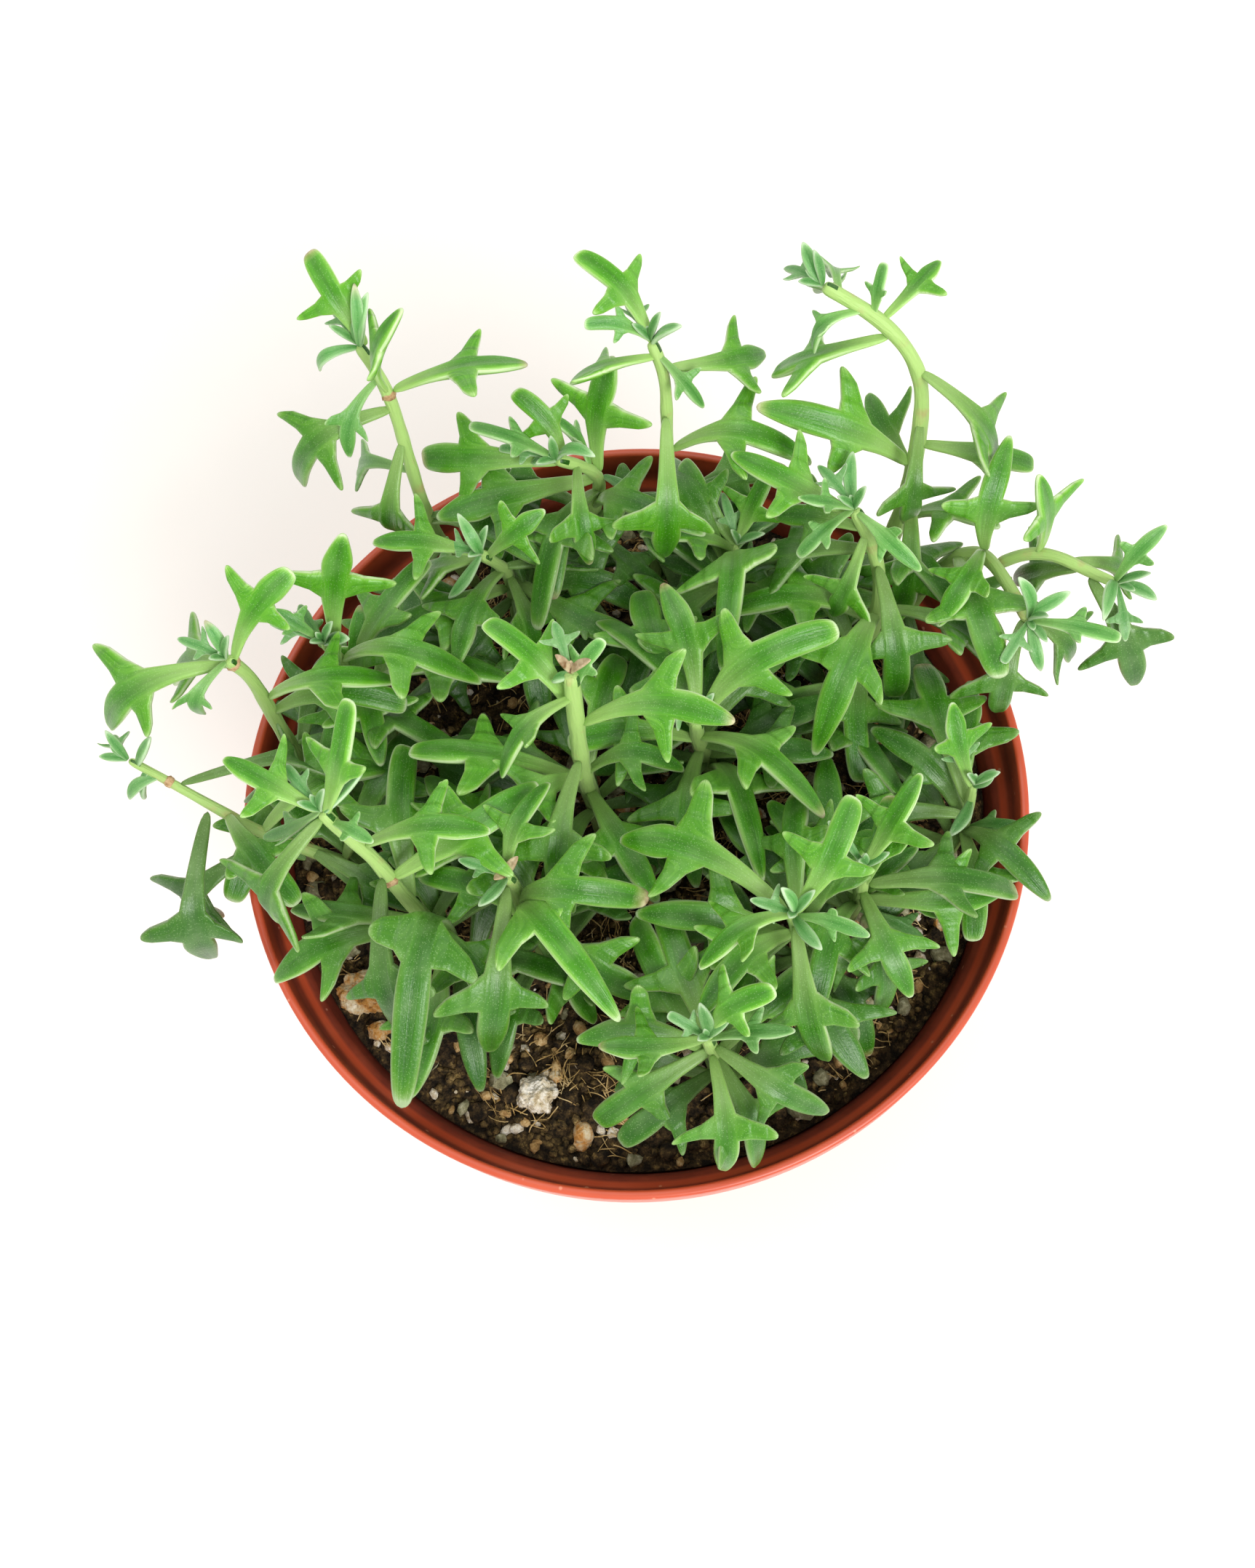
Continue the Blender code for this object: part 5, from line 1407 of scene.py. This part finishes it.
grains = [
    scatter("peat_crumbs", CRUMB, 5200, (0.5, 2.2), 1),
    scatter("peat_lumps", PEAT, 700, (1.6, 4.2), 2, 2),
    scatter("tan_grit", TAN_GRIT, 380, (0.9, 3.2), 3, 2),
    scatter("grey_grit", GREY_GRIT, 200, (1.2, 4.4), 4, 2),
    scatter("rusty_grit", RUSTY, 60, (1.6, 5.0), 6, 2),
    scatter("white_specks", PUMICE, 420, (0.5, 2.6), 5, 2)]
print("grains have", sum(len(grain.data.polygons) for grain in grains), "faces")

# %% [markdown]
# ### Coconut fibres
# A fibre is a stiff hair, up to a quarter of a millimetre thick and a few millimetres long, and nine or so
# lie together in a tuft. Each is a short rod along a wavering line.

# %% Fibres
TUFT = 9                             # fibres that lie together
TUFT_SPREAD = 2.2                    # mm, how widely they scatter
FIBRE_POINTS = 7


def make_fibres(count, seed):
    random.seed(seed)
    paths = []
    for k in range(count):
        if k % TUFT == 0:                                # a new tuft, whose fibres lie much the same way
            away, turn = SOIL_RADIUS * 0.95 * math.sqrt(random.random()), random.uniform(0, 2 * math.pi)
            middle = Vector((away * math.cos(turn), away * math.sin(turn), 0))
            lie = random.uniform(0, 2 * math.pi)
        spot = middle + Vector((random.gauss(0, TUFT_SPREAD), random.gauss(0, TUFT_SPREAD), 0)) * MM
        if spot.length > SOIL_RADIUS - 2 * MM:
            continue
        heading = lie + random.gauss(0, 0.5)
        bend = random.uniform(-0.1, 0.1)
        step = random.uniform(0.2, 0.75) * MM
        places = []
        for i in range(FIBRE_POINTS):
            lift = 0.4 * MM + 1.0 * MM * abs(math.sin(i * 0.4 + k * 1.7))
            places.append((spot.x, spot.y, ground(spot.x, spot.y) + lift))
            heading += bend + random.uniform(-0.12, 0.12)
            spot = spot + Vector((math.cos(heading), math.sin(heading), 0)) * step
            if spot.length > SOIL_RADIUS - 1 * MM:
                break
        if len(places) < 4:
            continue
        thick = random.uniform(0.05, 0.12) * MM
        paths.append([(place, thick) for place in places])
    bm = rods(paths, 0, WELD / 2)
    bmesh.ops.recalc_face_normals(bm, faces=bm.faces)
    return piece_from(bm, "coconut_fibres", [FIBRE])


fibres = make_fibres(2600, 11)
print("fibres have", len(fibres.data.polygons), "faces")

# %% [markdown]
# ## Pumice
# Four larger stones are in the design. Each new one is a finely divided ball, dented by noise, that fills
# the box of its plain solid.

# %% Stones
for i, name in enumerate(STONES):
    low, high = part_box(name)
    size = (high - low) / 2
    bm = bmesh.new()
    bmesh.ops.create_icosphere(bm, subdivisions=5, radius=1)
    for vert in bm.verts:
        way = vert.co.normalized()
        dents = noise.noise(way * 1.6 + Vector((i * 5, 0, 0))) * 0.30 + noise.noise(way * 4.5) * 0.12 \
            + noise.noise(way * 11) * 0.07
        pits = max(0.0, noise.noise(way * 7.5 + Vector((0, i * 3, 0))) - 0.22) * -0.45
        vert.co = way * (0.97 + dents + pits)
    middle = Vector(((low.x + high.x) / 2, (low.y + high.y) / 2, low.z + size.z * 0.6))
    bmesh.ops.transform(bm, matrix=Matrix.Translation(middle) @ Matrix.Diagonal((*(size * 1.02), 1)),
                        verts=bm.verts)
    piece_from(bm, name + "_stone", [RUSTY if name == "pumice_left" else PUMICE], [name])
print(len(STONES), "stones")

# %% [markdown]
# ## Floor and light
# A plain pale floor, a soft window light in front and to the right, a weaker light from the ceiling, and a
# bright even room.

# %% The studio
floor_mesh = bmesh.new()
bmesh.ops.create_grid(floor_mesh, x_segments=1, y_segments=1, size=3.0)
mesh = bpy.data.meshes.new("floor")
floor_mesh.to_mesh(mesh)
floor_mesh.free()
floor = link("floor", mesh)
paper, tree, shader, _ = finish_of("white_paper", 0.9, specular_ior_level=0.1)
shader.inputs["Base Color"].default_value = linear("F6F4F0")
mesh.materials.append(paper)

LAMPS = (("window", (0.45, -0.7, 0.9), 0.5, 10.5), ("ceiling", (-0.4, 0.4, 1.4), 1.0, 5.0))
for name, spot, size, power in LAMPS:
    lamp = bpy.data.lights.new(name, "AREA")
    lamp.shape = "SQUARE"
    lamp.size = size
    lamp.energy = power
    made = link(name, lamp)
    made.location = spot
    made.rotation_mode = "QUATERNION"
    made.rotation_quaternion = (Vector((0, 0, 0.1)) - Vector(spot)).to_track_quat("-Z", "Y")
world = bpy.data.worlds.new("room")
bpy.context.scene.world = world
world.use_nodes = True
world.node_tree.nodes["Background"].inputs["Color"].default_value = linear("FAF9F5")
world.node_tree.nodes["Background"].inputs["Strength"].default_value = 0.88
bpy.context.scene.view_settings.view_transform = "Standard"
print("lights are on")

# %% Measure and finish
depsgraph = bpy.context.evaluated_depsgraph_get()
triangles = {}
for made in bpy.context.scene.objects:
    if made.type == "MESH" and not made.hide_render:
        polygons = made.evaluated_get(depsgraph).data.polygons
        triangles[made.name] = sum(polygon.loop_total - 2 for polygon in polygons)
most = max(triangles, key=triangles.get)
print(sum(triangles.values()), "triangles; the most in one piece are", triangles[most], "in", most)
